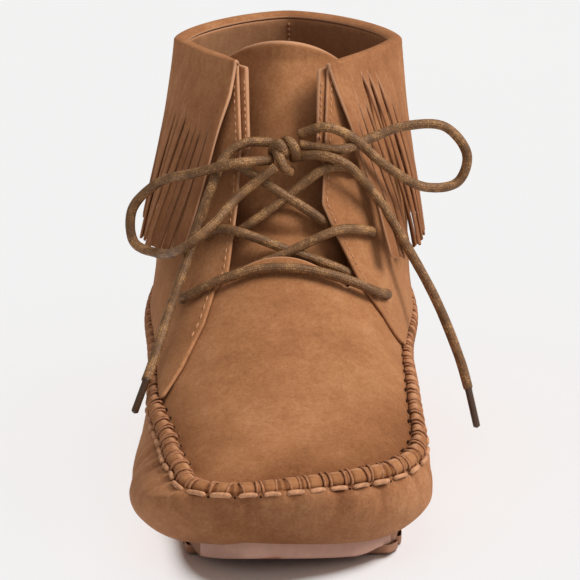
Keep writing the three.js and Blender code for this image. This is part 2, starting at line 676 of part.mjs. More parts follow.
// Cuff: turned in over the collar, folded outwards and cut into a fringe that flares away from the shaft
const hang = (p) => {
  const drop = clamp((COLLAR_HEIGHT - p.z) / (COLLAR_HEIGHT - FRINGE_END), 0, 1.3);
  return FRINGE_FLARE * Math.pow(drop, 1.4);
};
function cuff() {
  const foldFloor = COLLAR_HEIGHT + GAP;
  const foldTop = foldFloor + CUFF_FOLD;
  const slab = (low, high) => above(low).subtract(above(high));
  const [inside, turnIn] = [-UPPER_WALL - GAP, -UPPER_WALL - GAP - CUFF_WALL];
  const slitTop = COLLAR_HEIGHT - SLIT_START;
  const outer = form((p) => CUFF_OUT + hang(p));
  const skin = outer.subtract(form((p) => CUFF_IN + hang(p))).intersect(slab(slitTop, foldFloor + 0.1));
  const fold = outer.subtract(form(turnIn)).intersect(slab(foldFloor, foldTop));
  const lip = form(inside).subtract(form(turnIn)).intersect(slab(COLLAR_HEIGHT - CUFF_TURN_IN, foldFloor + 0.1));
  const opening = prism("y", frontOutline(CUFF_EDGE, 0, 0), 2 * FRONT, THROAT_REACH);
  const band = skin.add(fold).add(lip).subtract(opening);
  return largest(fringe(slitTop).reduce((all, strip) => all.add(strip), band));
}

// Strips of the fringe: each hangs from the band, follows the shaft's skin and ends at its own height.
const STRIP_ENDS = [0, 2.4, 0.8, 3.2, 1.5, 2.8];
const STRIP_LEVELS = [0, 0.5, 1];
function fringe(slitTop) {
  const at = slitTop / COLLAR_HEIGHT;
  const centre = new THREE.Vector3(along(SHAFT, "middle", at), along(SHAFT, "widest", at), 0);
  const edge = (height, side) => {
    const i = Math.max(CUFF_EDGE.findIndex((row) => row.height * COLLAR_HEIGHT <= height), 1);
    const [low, high] = [CUFF_EDGE[i], CUFF_EDGE[i - 1]];
    const share = (height / COLLAR_HEIGHT - low.height) / (high.height - low.height);
    return (side === "inner" ? -1 : 1) * (low[side] + share * (high[side] - low[side])) * BALL_WIDTH;
  };
  // Skin of the shaft at a height, at a share of the way round from one front edge to the other
  const angles = (height) => ["inner", "outer"].map((side) => {
    const p = onFront(edge(height, side), height, 0);
    return Math.atan2(p.x - centre.x, centre.y - p.y);
  });
  const skinAt = (height, share) => {
    const [first, last] = angles(height);
    const angle = first + (last - first - 2 * Math.PI) * share;
    const direction = new THREE.Vector3(Math.sin(angle), -Math.cos(angle), 0);
    return surfaceFrom(centre.clone().setZ(height), direction);
  };
  const girth = Array.from({ length: 61 }, (_, i) => skinAt(slitTop, i / 60));
  const lengths = [0];
  for (let i = 1; i <= 60; i++) lengths.push(lengths[i - 1] + girth[i].distanceTo(girth[i - 1]));
  const shareAt = (length) => {
    const i = clamp(lengths.findIndex((l) => l >= length), 1, 60);
    return (i - 1 + (length - lengths[i - 1]) / (lengths[i] - lengths[i - 1])) / 60;
  };
  const count = Math.round(lengths[60] / STRIP_PITCH);
  const pitch = lengths[60] / count;
  return Array.from({ length: count }, (_, i) => {
    const foot = FRINGE_END + STRIP_ENDS[i % STRIP_ENDS.length];
    const [start, end] = [shareAt(i * pitch + 0.5 * SLIT_WIDTH), shareAt((i + 1) * pitch - 0.5 * SLIT_WIDTH)];
    const corners = STRIP_LEVELS.flatMap((level) => {
      const height = slitTop + 1 + (foot - slitTop - 1) * level;
      return [[start, false], [end, false], [end, true], [start, true]].map(([share, isOuter]) => {
        const p = skinAt(height, share);
        const spare = 0.5 * (CUFF_WALL - STRIP_WALL);
        const growth = (isOuter ? CUFF_OUT - spare : CUFF_IN + spare) + hang(p);
        return p.clone().addScaledVector(normalAt(p), growth).setZ(height);
      });
    });
    const faces = [[0, 2, 1], [0, 3, 2]];
    const last = 4 * (STRIP_LEVELS.length - 1);
    faces.push([last, last + 1, last + 2], [last, last + 2, last + 3]);
    for (let k = 0; k < last; k += 4) {
      for (let j = 0; j < 4; j++) {
        const [a, b] = [k + j, k + ((j + 1) % 4)];
        faces.push([a, b, b + 4], [a, b + 4, a + 4]);
      }
    }
    return solidFrom(corners, faces);
  });
}

// Lacing over the throat. Growths of the lace's centre line over each layer of the boot:
const ON_QUARTER = QUARTER_OUT + 2 * GAP + 0.5 * LACE_DIAMETER;
const ON_PLUG = 3 * GAP + 0.5 * LACE_DIAMETER;
const UNDER_UPPER = -UPPER_WALL - GAP - 0.5 * LACE_DIAMETER;
const IN_HOLE = -0.4 * UPPER_WALL;

// Walls of the upper and of the quarters, grown by the gap, with narrower holes: a lace is cut back to them.
const keepOut = form(QUARTER_OUT + GAP)
  .subtract(form(0))
  .subtract(prism("y", frontOutline(FACING, -GAP, 0), 2 * FRONT, THROAT_REACH))
  .add(form(GAP)
    .subtract(form(-UPPER_WALL - GAP))
    .subtract(prism("y", frontOutline(FACING, UNDERLAP - GAP, THROAT_FLOOR + GAP), 2 * FRONT, THROAT_REACH)))
  .subtract(laceHoles(LACE_HOLE - 2 * GAP));

// Lowest bar: from the first hole on one side over the plug to the first hole on the other
function laceBar() {
  const [hole] = LACE_HOLES;
  const top = THROAT_FLOOR + THROAT_ARCH + 0.018 * COLLAR_HEIGHT;
  const rise = (share) => hole.height * COLLAR_HEIGHT * (1 - share) + top * share;
  const [left, right] = [edgeX(hole, "inner"), edgeX(hole, "outer")];
  const side = (x) => [
    onFront(x, rise(0), IN_HOLE),
    onFront(x * 0.95, rise(0.02), ON_QUARTER - 0.5),
    onFront(x * 0.84, rise(0.08), ON_QUARTER),
    onFront(x * 0.66, rise(0.36), ON_QUARTER),
    onFront(x * 0.45, rise(0.7), ON_QUARTER - 0.6),
    onFront(x * 0.16, rise(1), ON_PLUG),
  ];
  return largest(tube([...side(left), ...side(right).reverse()], LACE_DIAMETER, 20).subtract(keepOut));
}

// One crossing: out of a hole, over its facing and down under the other facing
function crossing(from, side, landing, bow) {
  const other = side === "inner" ? "outer" : "inner";
  const inwards = side === "inner" ? 1 : -1;
  const facingX = (height, s) => {
    const i = FACING.findIndex((row) => row.height < height);
    const [low, high] = [FACING[i], FACING[i - 1]];
    const share = (height - low.height) / (high.height - low.height);
    return (s === "inner" ? -1 : 1) * BALL_WIDTH * (low[s] + share * (high[s] - low[s]));
  };
  const height = from.height + 0.02;
  const start = onFront(facingX(height, side), height * COLLAR_HEIGHT, ON_QUARTER - 0.4);
  const end = onFront(facingX(landing, other), landing * COLLAR_HEIGHT, 0.5 * UNDER_UPPER);
  const tucked = onFront(facingX(landing, other) + 3 * inwards, (landing - 0.012) * COLLAR_HEIGHT, UNDER_UPPER);
  const middle = start.clone().lerp(end, 0.5).add(new THREE.Vector3(0, -bow, 0.5 * bow));
  const overFacing = 0.55 * edgeX(from, side) + 0.45 * facingX(height, side);
  return tube([
    onRow(from, side, 0, IN_HOLE),
    onRow(from, side, 1.2 * inwards, ON_QUARTER - 0.5),
    onFront(overFacing, (from.height + 0.012) * COLLAR_HEIGHT, ON_QUARTER),
    start,
    middle,
    end,
    tucked,
  ], LACE_DIAMETER, 15);
}

// Bow: the knot, the two loops and the two ends, as places across (shares of the ball's width), along (of the
// boot's length) and up (of the collar's height).
const LOOP_LATERAL = [
  { across: 0.061, along: 0.028, up: 0.852 },
  { across: 0.151, along: 0.016, up: 0.875 },
  { across: 0.245, along: 0.02, up: 0.848 },
  { across: 0.36, along: 0.032, up: 0.772 },
  { across: 0.504, along: 0.056, up: 0.705 },
  { across: 0.62, along: 0.072, up: 0.711 },
  { across: 0.652, along: 0.076, up: 0.778 },
  { across: 0.573, along: 0.072, up: 0.852 },
  { across: 0.432, along: 0.06, up: 0.859 },
  { across: 0.309, along: 0.044, up: 0.835 },
  { across: 0.204, along: 0.01, up: 0.821 },
  { across: 0.064, along: 0.02, up: 0.829 },
];
const LOOP_MEDIAL = [
  { across: -0.033, along: 0.008, up: 0.795 },
  { across: -0.161, along: -0.018, up: 0.798 },
  { across: -0.3, along: 0.004, up: 0.764 },
  { across: -0.432, along: 0.044, up: 0.721 },
  { across: -0.525, along: 0.056, up: 0.646 },
  { across: -0.518, along: 0.04, up: 0.571 },
  { across: -0.432, along: 0.014, up: 0.555 },
  { across: -0.324, along: -0.066, up: 0.612 },
  { across: -0.237, along: -0.056, up: 0.66 },
  { across: -0.15, along: -0.024, up: 0.716 },
  { across: -0.02, along: -0.01, up: 0.785 },
];
const END_LATERAL = [
  { across: 0.061, along: 0.016, up: 0.8 },
  { across: 0.141, along: 0, up: 0.81 },
  { across: 0.223, along: -0.004, up: 0.79 },
  { across: 0.326, along: 0.016, up: 0.703 },
  { across: 0.432, along: 0.02, up: 0.578 },
  { across: 0.542, along: 0.012, up: 0.435 },
  { across: 0.628, along: 0.004, up: 0.284 },
  { across: 0.657, along: 0, up: 0.213 },
];
const END_MEDIAL = [
  { across: -0.033, along: 0.028, up: 0.832 },
  { across: -0.127, along: 0.02, up: 0.833 },
  { across: -0.193, along: 0.012, up: 0.803 },
  { across: -0.242, along: -0.012, up: 0.734 },
  { across: -0.291, along: -0.026, up: 0.638 },
  { across: -0.339, along: -0.068, up: 0.547 },
  { across: -0.389, along: -0.1, up: 0.455 },
  { across: -0.434, along: -0.152, up: 0.371 },
  { across: -0.459, along: -0.184, up: 0.332 },
];
const TIP_LATERAL = { across: 0.69, along: -0.004, up: 0.111 };
const TIP_MEDIAL = { across: -0.5, along: -0.2, up: 0.258 };
const KNOT_WRAP = [
  { across: -0.03, along: 0.02, up: 0.826 },
  { across: -0.012, along: 0.012, up: 0.85 },
  { across: 0.012, along: 0.004, up: 0.838 },
  { across: 0.03, along: 0.004, up: 0.8 },
  { across: 0.036, along: 0.014, up: 0.772 },
];
const KNOT_TURN = [
  { across: -0.01, along: 0.022, up: 0.795 },
  { across: 0.03, along: 0.024, up: 0.805 },
  { across: 0.048, along: 0.022, up: 0.83 },
  { across: 0.022, along: 0.02, up: 0.86 },
  { across: -0.018, along: 0.022, up: 0.845 },
];
const placed = (row) => new THREE.Vector3(row.across * BALL_WIDTH, row.along * BOOT_LENGTH, row.up * COLLAR_HEIGHT);
const cord = (table, steps) => tube(table.map(placed), LACE_DIAMETER, steps);
function knot(growth) {
  const strand = (table, steps) => tube(table.map(placed), 1.25 * LACE_DIAMETER + 2 * growth, steps);
  return strand(KNOT_WRAP, 6).add(strand(KNOT_TURN, 6));
}
function bow() {
  const clear = knot(GAP);
  const aglet = (end, tip) => {
    const [last, far] = [placed(end[end.length - 1]), placed(tip)];
    const run = far.clone().sub(last).normalize();
    return tube([last.addScaledVector(run, 3 * GAP), far], AGLET_DIAMETER, 1);
  };
  return {
    lace_knot: knot(0),
    lace_loop_left: largest(cord(LOOP_LATERAL, 20).subtract(clear)),
    lace_loop_right: largest(cord(LOOP_MEDIAL, 20).subtract(clear)),
    lace_end_left: largest(cord(END_LATERAL, 14).subtract(clear)),
    lace_end_right: largest(cord(END_MEDIAL, 14).subtract(clear)),
    aglet_left: aglet(END_LATERAL, TIP_LATERAL),
    aglet_right: aglet(END_MEDIAL, TIP_MEDIAL),
  };
}

const boot = new THREE.Group();
function place(name, solid, colour, roughness) {
  const mesh = solid.simplify(FACET_TOLERANCE).getMesh();
  const n = mesh.numProp;
  const vertices = new Float32Array(mesh.numVert * 3);
  for (let i = 0; i < mesh.numVert; i++) vertices.set(mesh.vertProperties.subarray(i * n, i * n + 3), i * 3);
  const geometry = new THREE.BufferGeometry();
  geometry.setAttribute("position", new THREE.BufferAttribute(vertices, 3));
  geometry.setIndex(new THREE.BufferAttribute(mesh.triVerts, 1));
  geometry.computeVertexNormals();
  const piece = new THREE.Mesh(geometry, new THREE.MeshStandardMaterial({ color: colour, roughness, metalness: 0 }));
  piece.name = name;
  boot.add(piece);
}

const SUEDE = 0xa0704c;
const GUM = 0xbe917d;
const LINING = 0x6e5034;
const CORD = 0x6e553c;

place("outsole", outsole(), GUM, 0.7);
place("insole", insole(), LINING, 0.9);
place("upper", upper(), SUEDE, 0.95);
place("tongue", tongue(), SUEDE, 0.95);
place("moccasin_seam", moccasinSeam(), SUEDE, 0.95);
const overlays = quarters();
place("quarter_medial", largest(overlays.intersect(half(-WIDE, SHAFT_OFFSET - 0.5 * GAP))), SUEDE, 0.95);
place("quarter_lateral", largest(overlays.intersect(half(SHAFT_OFFSET + 0.5 * GAP, WIDE))), SUEDE, 0.95);

place("fringe_cuff", cuff(), SUEDE, 0.95);
place("lace_bar", laceBar(), CORD, 0.6);
const [, second, third] = LACE_HOLES;
const pair = (hole, innerLanding, outerLanding) =>
  largest(crossing(hole, "inner", innerLanding, 1.5).add(crossing(hole, "outer", outerLanding, 0)).subtract(keepOut));
place("lace_cross_lower", pair(second, 0.54, 0.54), CORD, 0.6);
place("lace_cross_upper", pair(third, 0.655, 0.63), CORD, 0.6);
for (const [name, solid] of Object.entries(bow())) {
  place(name, solid, CORD, name.startsWith("aglet") ? 0.35 : 0.6);
}

// The origin lies under the middle of the boot without its bow.
const BOW = /^(lace_knot|lace_loop|lace_end|aglet)/;
const extent = new THREE.Box3();
boot.children.filter((piece) => !BOW.test(piece.name)).forEach((piece) => extent.expandByObject(piece));
const middle = extent.getCenter(new THREE.Vector3());
boot.position.set(-middle.x, -middle.y, 0);

export default boot;
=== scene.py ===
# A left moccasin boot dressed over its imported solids: suede wrap, plug and quarters, whip-stitched seam,
# fringed cuff, waxed lace tied in a bow, lugged sole.
import math

import bmesh
import bpy
import numpy as np
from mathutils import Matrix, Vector
from mathutils.kdtree import KDTree


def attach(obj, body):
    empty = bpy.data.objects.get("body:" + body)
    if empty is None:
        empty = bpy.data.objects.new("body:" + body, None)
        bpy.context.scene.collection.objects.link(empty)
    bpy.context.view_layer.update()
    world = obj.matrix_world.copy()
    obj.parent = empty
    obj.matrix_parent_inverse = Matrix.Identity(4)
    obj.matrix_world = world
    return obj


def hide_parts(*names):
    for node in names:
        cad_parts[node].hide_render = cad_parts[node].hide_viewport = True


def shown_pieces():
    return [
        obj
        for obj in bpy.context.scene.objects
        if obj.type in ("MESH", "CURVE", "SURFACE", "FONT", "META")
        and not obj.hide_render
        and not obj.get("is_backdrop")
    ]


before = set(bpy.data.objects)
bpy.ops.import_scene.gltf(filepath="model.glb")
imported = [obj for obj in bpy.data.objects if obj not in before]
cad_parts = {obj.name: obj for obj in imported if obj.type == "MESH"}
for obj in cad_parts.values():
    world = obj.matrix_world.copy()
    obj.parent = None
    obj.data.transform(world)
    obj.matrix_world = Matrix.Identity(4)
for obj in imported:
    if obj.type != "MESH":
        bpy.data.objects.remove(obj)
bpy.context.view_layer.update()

MM = 0.001
# The solids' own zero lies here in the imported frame, in mm.
SHIFT = np.array([-0.295, 0.205, 0.0])

# ---------------------------------------------------------------- sizes, in mm, as in the part's source
BOOT_LENGTH = 250.0
BALL_WIDTH = 98.6
INSTEP_HEIGHT = 76.0
COLLAR_HEIGHT = 139.0
COLLAR_WIDTH = 74.5
COLLAR_LENGTH = 95.0
TOE_OFFSET = -13.2
SHAFT_OFFSET = 2.2
WRAP_BULGE = 15.5
ANKLE_BLEND = 9.0
GAP = 0.3
UPPER_WALL = 1.8
QUARTER_WALL = 1.3
SOLE_INSET = 10.5
INNER_TUCK = 8.0
FOREFOOT_SOLE = 5.2
HEEL_SOLE = 9.5
TOE_SPRING = 11.2
HEEL_BEVEL = 2.5
ARCH_RISE = 1.8
LUG_DEPTH = 2.4
LUG_PITCH = 11.0
LUG_GROOVE = 4.2
LUG_PROUD = 0.9
SOLE_CUP = 1.8
SEAM_WIDTH = 5.4
SEAM_RISE = 2.4
THROAT_FLOOR = 70.5
THROAT_ARCH = 4.7
UNDERLAP = 1.4
THROAT_REACH = 45.0
TONGUE_THICKNESS = 2.4
TONGUE_WIDTH = 42.0
TONGUE_TOP = 146.0
TONGUE_CROWN = 10.0
TONGUE_FOOT = 67.0
TONGUE_NOSE = 12.0
PLUG_LIP = 5.6
CUFF_WALL = 1.4
CUFF_FOLD = 2.4
SLIT_START = 13.0
FRINGE_END = 72.0
FRINGE_FLARE = 3.6
LACE_DIAMETER = 3.4
AGLET_DIAMETER = 2.5
QUARTER_IN = GAP
QUARTER_OUT = QUARTER_IN + QUARTER_WALL
CUFF_IN = QUARTER_OUT + GAP
CUFF_OUT = CUFF_IN + CUFF_WALL

FRONT = -0.5 * BOOT_LENGTH
BACK = 0.5 * BOOT_LENGTH
END_ZONE = 0.16 * BOOT_LENGTH


class Table:
    """Named columns over a first column, joined by a smooth curve."""

    def __init__(self, names, rows, scale=None):
        data = np.array(rows, float)
        if data[0, 0] > data[-1, 0]:
            data = data[::-1]
        self.at = data[:, 0]
        self.columns = {}
        last = len(data) - 1
        for k, name in enumerate(names[1:], 1):
            ys = data[:, k] * (scale or {}).get(name, 1.0)
            before, after = np.maximum(np.arange(last + 1) - 1, 0), np.minimum(np.arange(last + 1) + 1, last)
            slopes = (ys[after] - ys[before]) / (self.at[after] - self.at[before])
            self.columns[name] = (ys, slopes)

    def value(self, name, at):
        ys, slopes = self.columns[name]
        at = np.clip(at, self.at[0], self.at[-1])
        i = np.clip(np.searchsorted(self.at, at, side="left") - 1, 0, len(self.at) - 2)
        step = self.at[i + 1] - self.at[i]
        t = (at - self.at[i]) / step
        t2, t3 = t * t, t * t * t
        return (
            (2 * t3 - 3 * t2 + 1) * ys[i]
            + (t3 - 2 * t2 + t) * step * slopes[i]
            + (3 * t2 - 2 * t3) * ys[i + 1]
            + (t3 - t2) * step * slopes[i + 1]
        )

    def straight(self, name, at):
        return np.interp(at, self.at, self.columns[name][0])


FOOT = Table(
    ["at", "width", "middle", "top", "inner", "outer"],
    [
        [-0.5, 1, 1, 0.45, 1.75, 2.3],
        [-0.42, 1, 0.24, 0.53, 1.75, 2.5],
        [-0.34, 1, 0, 0.6, 1.75, 2.7],
        [-0.24, 0.995, 0, 0.725, 1.85, 2.5],
        [-0.12, 0.955, 0, 0.895, 2.1, 2.3],
        [0, 0.92, 0.02, 1, 2.4, 2.3],
        [0.12, 0.912, 0.02, 0.99, 2.4, 2.4],
        [0.24, 0.862, 0, 0.87, 2.4, 2.4],
        [0.34, 0.781, -0.03, 0.76, 2.4, 2.4],
        [0.5, 0.781, -0.05, 0.62, 2.4, 2.4],
    ],
    {"width": BALL_WIDTH, "middle": TOE_OFFSET, "top": INSTEP_HEIGHT},
)
COLLAR_BACK = 0.424
COLLAR_FRONT = COLLAR_BACK - COLLAR_LENGTH / BOOT_LENGTH
SHAFT = Table(
    ["at", "middle", "front", "back", "widest", "width", "round", "point", "rear"],
    [
        [0, 0, -0.18, 0.46, 0.16, 1.075, 2, 2, 2.2],
        [0.18, 0, -0.18, 0.486, 0.17, 1.13, 2, 2, 2.2],
        [0.36, 0, -0.16, 0.484, 0.18, 1.17, 2, 2, 2.2],
        [0.54, 0.2, -0.08, 0.47, 0.2, 1.147, 2, 2, 2.2],
        [0.72, 0.6, -0.016, 0.454, 0.224, 1.09, 1.85, 1.7, 2.05],
        [0.86, 0.8, 0.017, 0.438, 0.236, 1.04, 1.7, 1.4, 1.8],
        [1, 1, COLLAR_FRONT, COLLAR_BACK, 0.248, 1, 1.5, 1.15, 1.55],
        [1.16, 1, COLLAR_FRONT + 0.015, 0.416, 0.248, 0.97, 1.5, 1.15, 1.5],
    ],
    {
        "middle": SHAFT_OFFSET,
        "front": BOOT_LENGTH,
        "back": BOOT_LENGTH,
        "widest": BOOT_LENGTH,
        "width": COLLAR_WIDTH,
    },
)
SEAM_LINE = Table(
    ["at", "inner", "outer"],
    [
        [-0.5, 0.232, 0.24],
        [-0.46, 0.234, 0.24],
        [-0.42, 0.246, 0.242],
        [-0.34, 0.258, 0.255],
        [-0.28, 0.269, 0.275],
        [-0.2, 0.283, 0.3],
        [-0.08, 0.315, 0.322],
        [0.08, 0.335, 0.335],
        [0.24, 0.35, 0.35],
        [0.5, 0.36, 0.36],
    ],
    {"inner": COLLAR_HEIGHT, "outer": COLLAR_HEIGHT},
)
FACING = Table(
    ["height", "inner", "outer"],
    [
        [1.16, 0.142, 0.15],
        [1.0, 0.142, 0.15],
        [0.81, 0.132, 0.143],
        [0.69, 0.145, 0.135],
        [0.62, 0.159, 0.18],
        [0.535, 0.178, 0.242],
        [0.5, 0.222, 0.27],
        [0.44, 0.256, 0.334],
        [0.36, 0.327, 0.405],
        [0.3, 0.391, 0.447],
        [0.24, 0.44, 0.48],
    ],
    {"inner": BALL_WIDTH, "outer": BALL_WIDTH},
)
CUFF_EDGE = Table(
    ["height", "inner", "outer"],
    [
        [1.16, 0.144, 0.15],
        [1.0, 0.144, 0.15],
        [0.92, 0.158, 0.182],
        [0.8, 0.198, 0.226],
        [0.65, 0.245, 0.285],
        [0.5, 0.295, 0.32],
        [0.42, 0.31, 0.34],
    ],
    {"inner": BALL_WIDTH, "outer": BALL_WIDTH},
)
LACE_HOLES = [(0.462, 0.335, 0.358), (0.604, 0.245, 0.301), (0.748, 0.211, 0.246)]


def smooth(v, low, high):
    t = np.clip((v - low) / (high - low), 0, 1)
    return t * t * (3 - 2 * t)


# ---------------------------------------------------------------- camera at the photograph's angle
CAMERA_DISTANCE = 1400.0
CAMERA_ELEVATION = math.radians(15.5)
CAMERA_AIM = np.array([2.93, 0.0, 64.9])
LENS_PIXELS = 4060.0
PHOTO_SIDE = 580.0
SENSOR = 36.0


def make_camera():
    data = bpy.data.cameras.new("camera")
    data.sensor_width = SENSOR
    data.lens = LENS_PIXELS / PHOTO_SIDE * SENSOR
    data.clip_start, data.clip_end = 0.01, 20.0
    camera = bpy.data.objects.new("camera", data)
    bpy.context.scene.collection.objects.link(camera)
    back = Vector((0, -math.cos(CAMERA_ELEVATION), math.sin(CAMERA_ELEVATION)))
    camera.location = Vector((CAMERA_AIM + SHIFT) * MM) + back * CAMERA_DISTANCE * MM
    camera.rotation_mode = "QUATERNION"
    camera.rotation_quaternion = (-back).to_track_quat("-Z", "Y")
    bpy.context.scene.camera = camera


make_camera()


# ---------------------------------------------------------------- the form of the boot, a signed field
def round_end(reach, power):
    return np.maximum(1 - np.clip(reach, 0, 1) ** power, 0) ** (1 / power)


def tread_height(y):
    toe = np.maximum(-0.32 * BOOT_LENGTH - y, 0) / (0.18 * BOOT_LENGTH)
    heel = np.maximum(y - 0.42 * BOOT_LENGTH, 0) / (0.08 * BOOT_LENGTH)
    arch = np.clip((y / BOOT_LENGTH - 0.01) / 0.2, 0, 1)
    return TOE_SPRING * toe * toe + HEEL_BEVEL * heel * heel + ARCH_RISE * np.sin(np.pi * arch) ** 2


def sole_top(y):
    heel = smooth(y, 0, 0.24 * BOOT_LENGTH)
    return tread_height(y) + FOREFOOT_SOLE * (1 - heel) + HEEL_SOLE * heel


def plan(y):
    at = y / BOOT_LENGTH
    toe = round_end((FRONT + END_ZONE - y) / END_ZONE, 2.1)
    heel = round_end((y - BACK + END_ZONE) / END_ZONE, 2.1)
    return 0.5 * FOOT.value("width", at) * np.minimum(toe, heel), FOOT.value("middle", at)


FIELD_SCALE = 37.0
LOWER_POWER = 2.5


def foot_field(x, y, z):
    inside = np.clip(y, FRONT + 0.05, BACK - 0.05)
    at = inside / BOOT_LENGTH
    half, middle = plan(inside)
    end = np.minimum(
        round_end((FRONT + END_ZONE - inside) / END_ZONE, 2.4),
        round_end((inside - BACK + END_ZONE) / END_ZONE, 2.6),
    )
    widest = sole_top(inside) + WRAP_BULGE
    side = np.abs(x - middle) / half
    power = np.where(x < middle, FOOT.value("inner", at), FOOT.value("outer", at))
    rise = np.maximum(z - widest, 0) / ((FOOT.value("top", at) - widest) * end)
    upper = (side**power + rise**power) ** (1 / power)
    drop = np.maximum(widest - z, 0) / (WRAP_BULGE * np.maximum(end, 0.2))
    lower = (side**LOWER_POWER + drop**LOWER_POWER) ** (1 / LOWER_POWER)
    return (np.where(z > widest, upper, lower) - 1) * FIELD_SCALE + np.abs(y - inside)


def shaft_field(x, y, z):
    at = z / COLLAR_HEIGHT
    widest = SHAFT.value("widest", at)
    side = np.abs(x - SHAFT.value("middle", at)) / (0.5 * SHAFT.value("width", at))
    behind = np.maximum(y - widest, 0) / (SHAFT.value("back", at) - widest)
    ahead = np.maximum(widest - y, 0) / (widest - SHAFT.value("front", at))
    rounded, pointed = SHAFT.value("round", at), SHAFT.value("point", at)
    rear = SHAFT.value("rear", at)
    back = (side**rear + behind**rear) ** (1 / rear)
    front = (side**rounded + ahead**pointed) ** (2 / (rounded + pointed))
    return np.maximum((np.where(y > widest, back, front) - 1) * FIELD_SCALE, 0.18 * COLLAR_HEIGHT - z)


def field(p):
    x, y, z = p[..., 0], p[..., 1], p[..., 2]
    a, b = foot_field(x, y, z), shaft_field(x, y, z)
    share = np.clip(0.5 + 0.5 * (b - a) / ANKLE_BLEND, 0, 1)
    return b + (a - b) * share - ANKLE_BLEND * share * (1 - share)


def normal_at(p):
    steps = 0.2 * np.eye(3)
    n = np.stack([field(p + s) - field(p - s) for s in steps], axis=-1)
    return n / np.linalg.norm(n, axis=-1, keepdims=True)


def marched(start, direction, step, reach, side):
    """Where rays cross the form's surface: from inside it with side 1, from outside with side -1."""
    start, direction = np.broadcast_arrays(np.asarray(start, float), np.asarray(direction, float))
    r = np.zeros(start.shape[:-1])
    open_rays = np.ones(r.shape, bool)
    for _ in range(int(reach / step)):
        open_rays &= side * field(start + direction * r[..., None]) < 0
        if not open_rays.any():
            break
        r = np.where(open_rays, r + step, r)
    low, high = np.maximum(r - step, 0), r
    for _ in range(18):
        middle = 0.5 * (low + high)
        forward = side * field(start + direction * middle[..., None]) < 0
        low, high = np.where(forward, middle, low), np.where(forward, high, middle)
    return start + direction * (0.5 * (low + high))[..., None]


def surface_from(start, direction):
    """Where a ray from an inside point leaves the form."""
    return marched(start, direction, 3.0, 200.0, 1)


def surface_met(start, direction):
    """Where a ray from outside first meets the form."""
    return marched(start, direction, 2.0, 420.0, -1)


def on_front(x, z, growth=0.0):
    """Points of the form seen from the front, grown along its normal."""
    x, z = np.broadcast_arrays(np.asarray(x, float), np.asarray(z, float))
    start = np.stack([x, np.full(x.shape, 1.2 * FRONT), z], axis=-1)
    p = surface_met(start, np.array([0.0, 1.0, 0.0]))
    return p + normal_at(p) * np.asarray(growth)[..., None]


def seam_height(y, across):
    inner, outer = SEAM_LINE.value("inner", y / BOOT_LENGTH), SEAM_LINE.value("outer", y / BOOT_LENGTH)
    return inner + (outer - inner) * smooth(across, -0.7, 0.7)


# ---------------------------------------------------------------- mesh helpers
def unit(v):
    return v / np.maximum(np.linalg.norm(v, axis=-1, keepdims=True), 1e-9)


def catmull(points, count):
    """Points evenly spaced along a centripetal Catmull-Rom curve through the given ones."""
    p = np.asarray(points, float)
    p = np.vstack([2 * p[0] - p[1], p, 2 * p[-1] - p[-2]])

    def between(a, b, low, high, s):
        return (high - s) / (high - low) * a + (s - low) / (high - low) * b

    out = []
    for i in range(1, len(p) - 2):
        four = p[i - 1 : i + 3]
        t = np.cumsum([0] + [max(np.linalg.norm(b - a) ** 0.5, 1e-4) for a, b in zip(four[:-1], four[1:])])
        for s in np.linspace(t[1], t[2], 24, endpoint=False):
            a = [between(four[k], four[k + 1], t[k], t[k + 1], s) for k in range(3)]
            b = [between(a[k], a[k + 1], t[k], t[k + 2], s) for k in range(2)]
            out.append(between(*b, t[1], t[2], s))
    return even(np.vstack([out, p[-2]]), count)


def lengths_of(points):
    return np.concatenate([[0], np.cumsum(np.linalg.norm(np.diff(points, axis=0), axis=1))])


def even(points, count):
    run = lengths_of(points)
    at = np.linspace(0, run[-1], count)
    return np.stack([np.interp(at, run, points[:, k]) for k in range(3)], axis=1)


def make_object(name, points, faces, materials, kinds=None, attributes=None, slot=None, replaces=()):
    """points in the solids' own millimetres; the object itself sits at the frame's zero."""
    mesh = bpy.data.meshes.new(name)
    mesh.from_pydata(((np.asarray(points) + SHIFT) * MM).tolist(), [], [list(map(int, f)) for f in faces])
    for material in materials:
        mesh.materials.append(material)
    if kinds is not None:
        mesh.polygons.foreach_set("material_index", np.asarray(kinds, dtype=np.int32))
    for key, values in (attributes or {}).items():
        layer = mesh.attributes.new(key, "FLOAT", "POINT")
        layer.data.foreach_set("value", np.asarray(values, dtype=np.float32))
    mesh.polygons.foreach_set("use_smooth", np.full(len(mesh.polygons), True))
    mesh.validate()
    obj = bpy.data.objects.new(name, mesh)
    bpy.context.scene.collection.objects.link(obj)
    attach(obj, "root")
    if replaces:
        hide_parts(*replaces)
    return obj


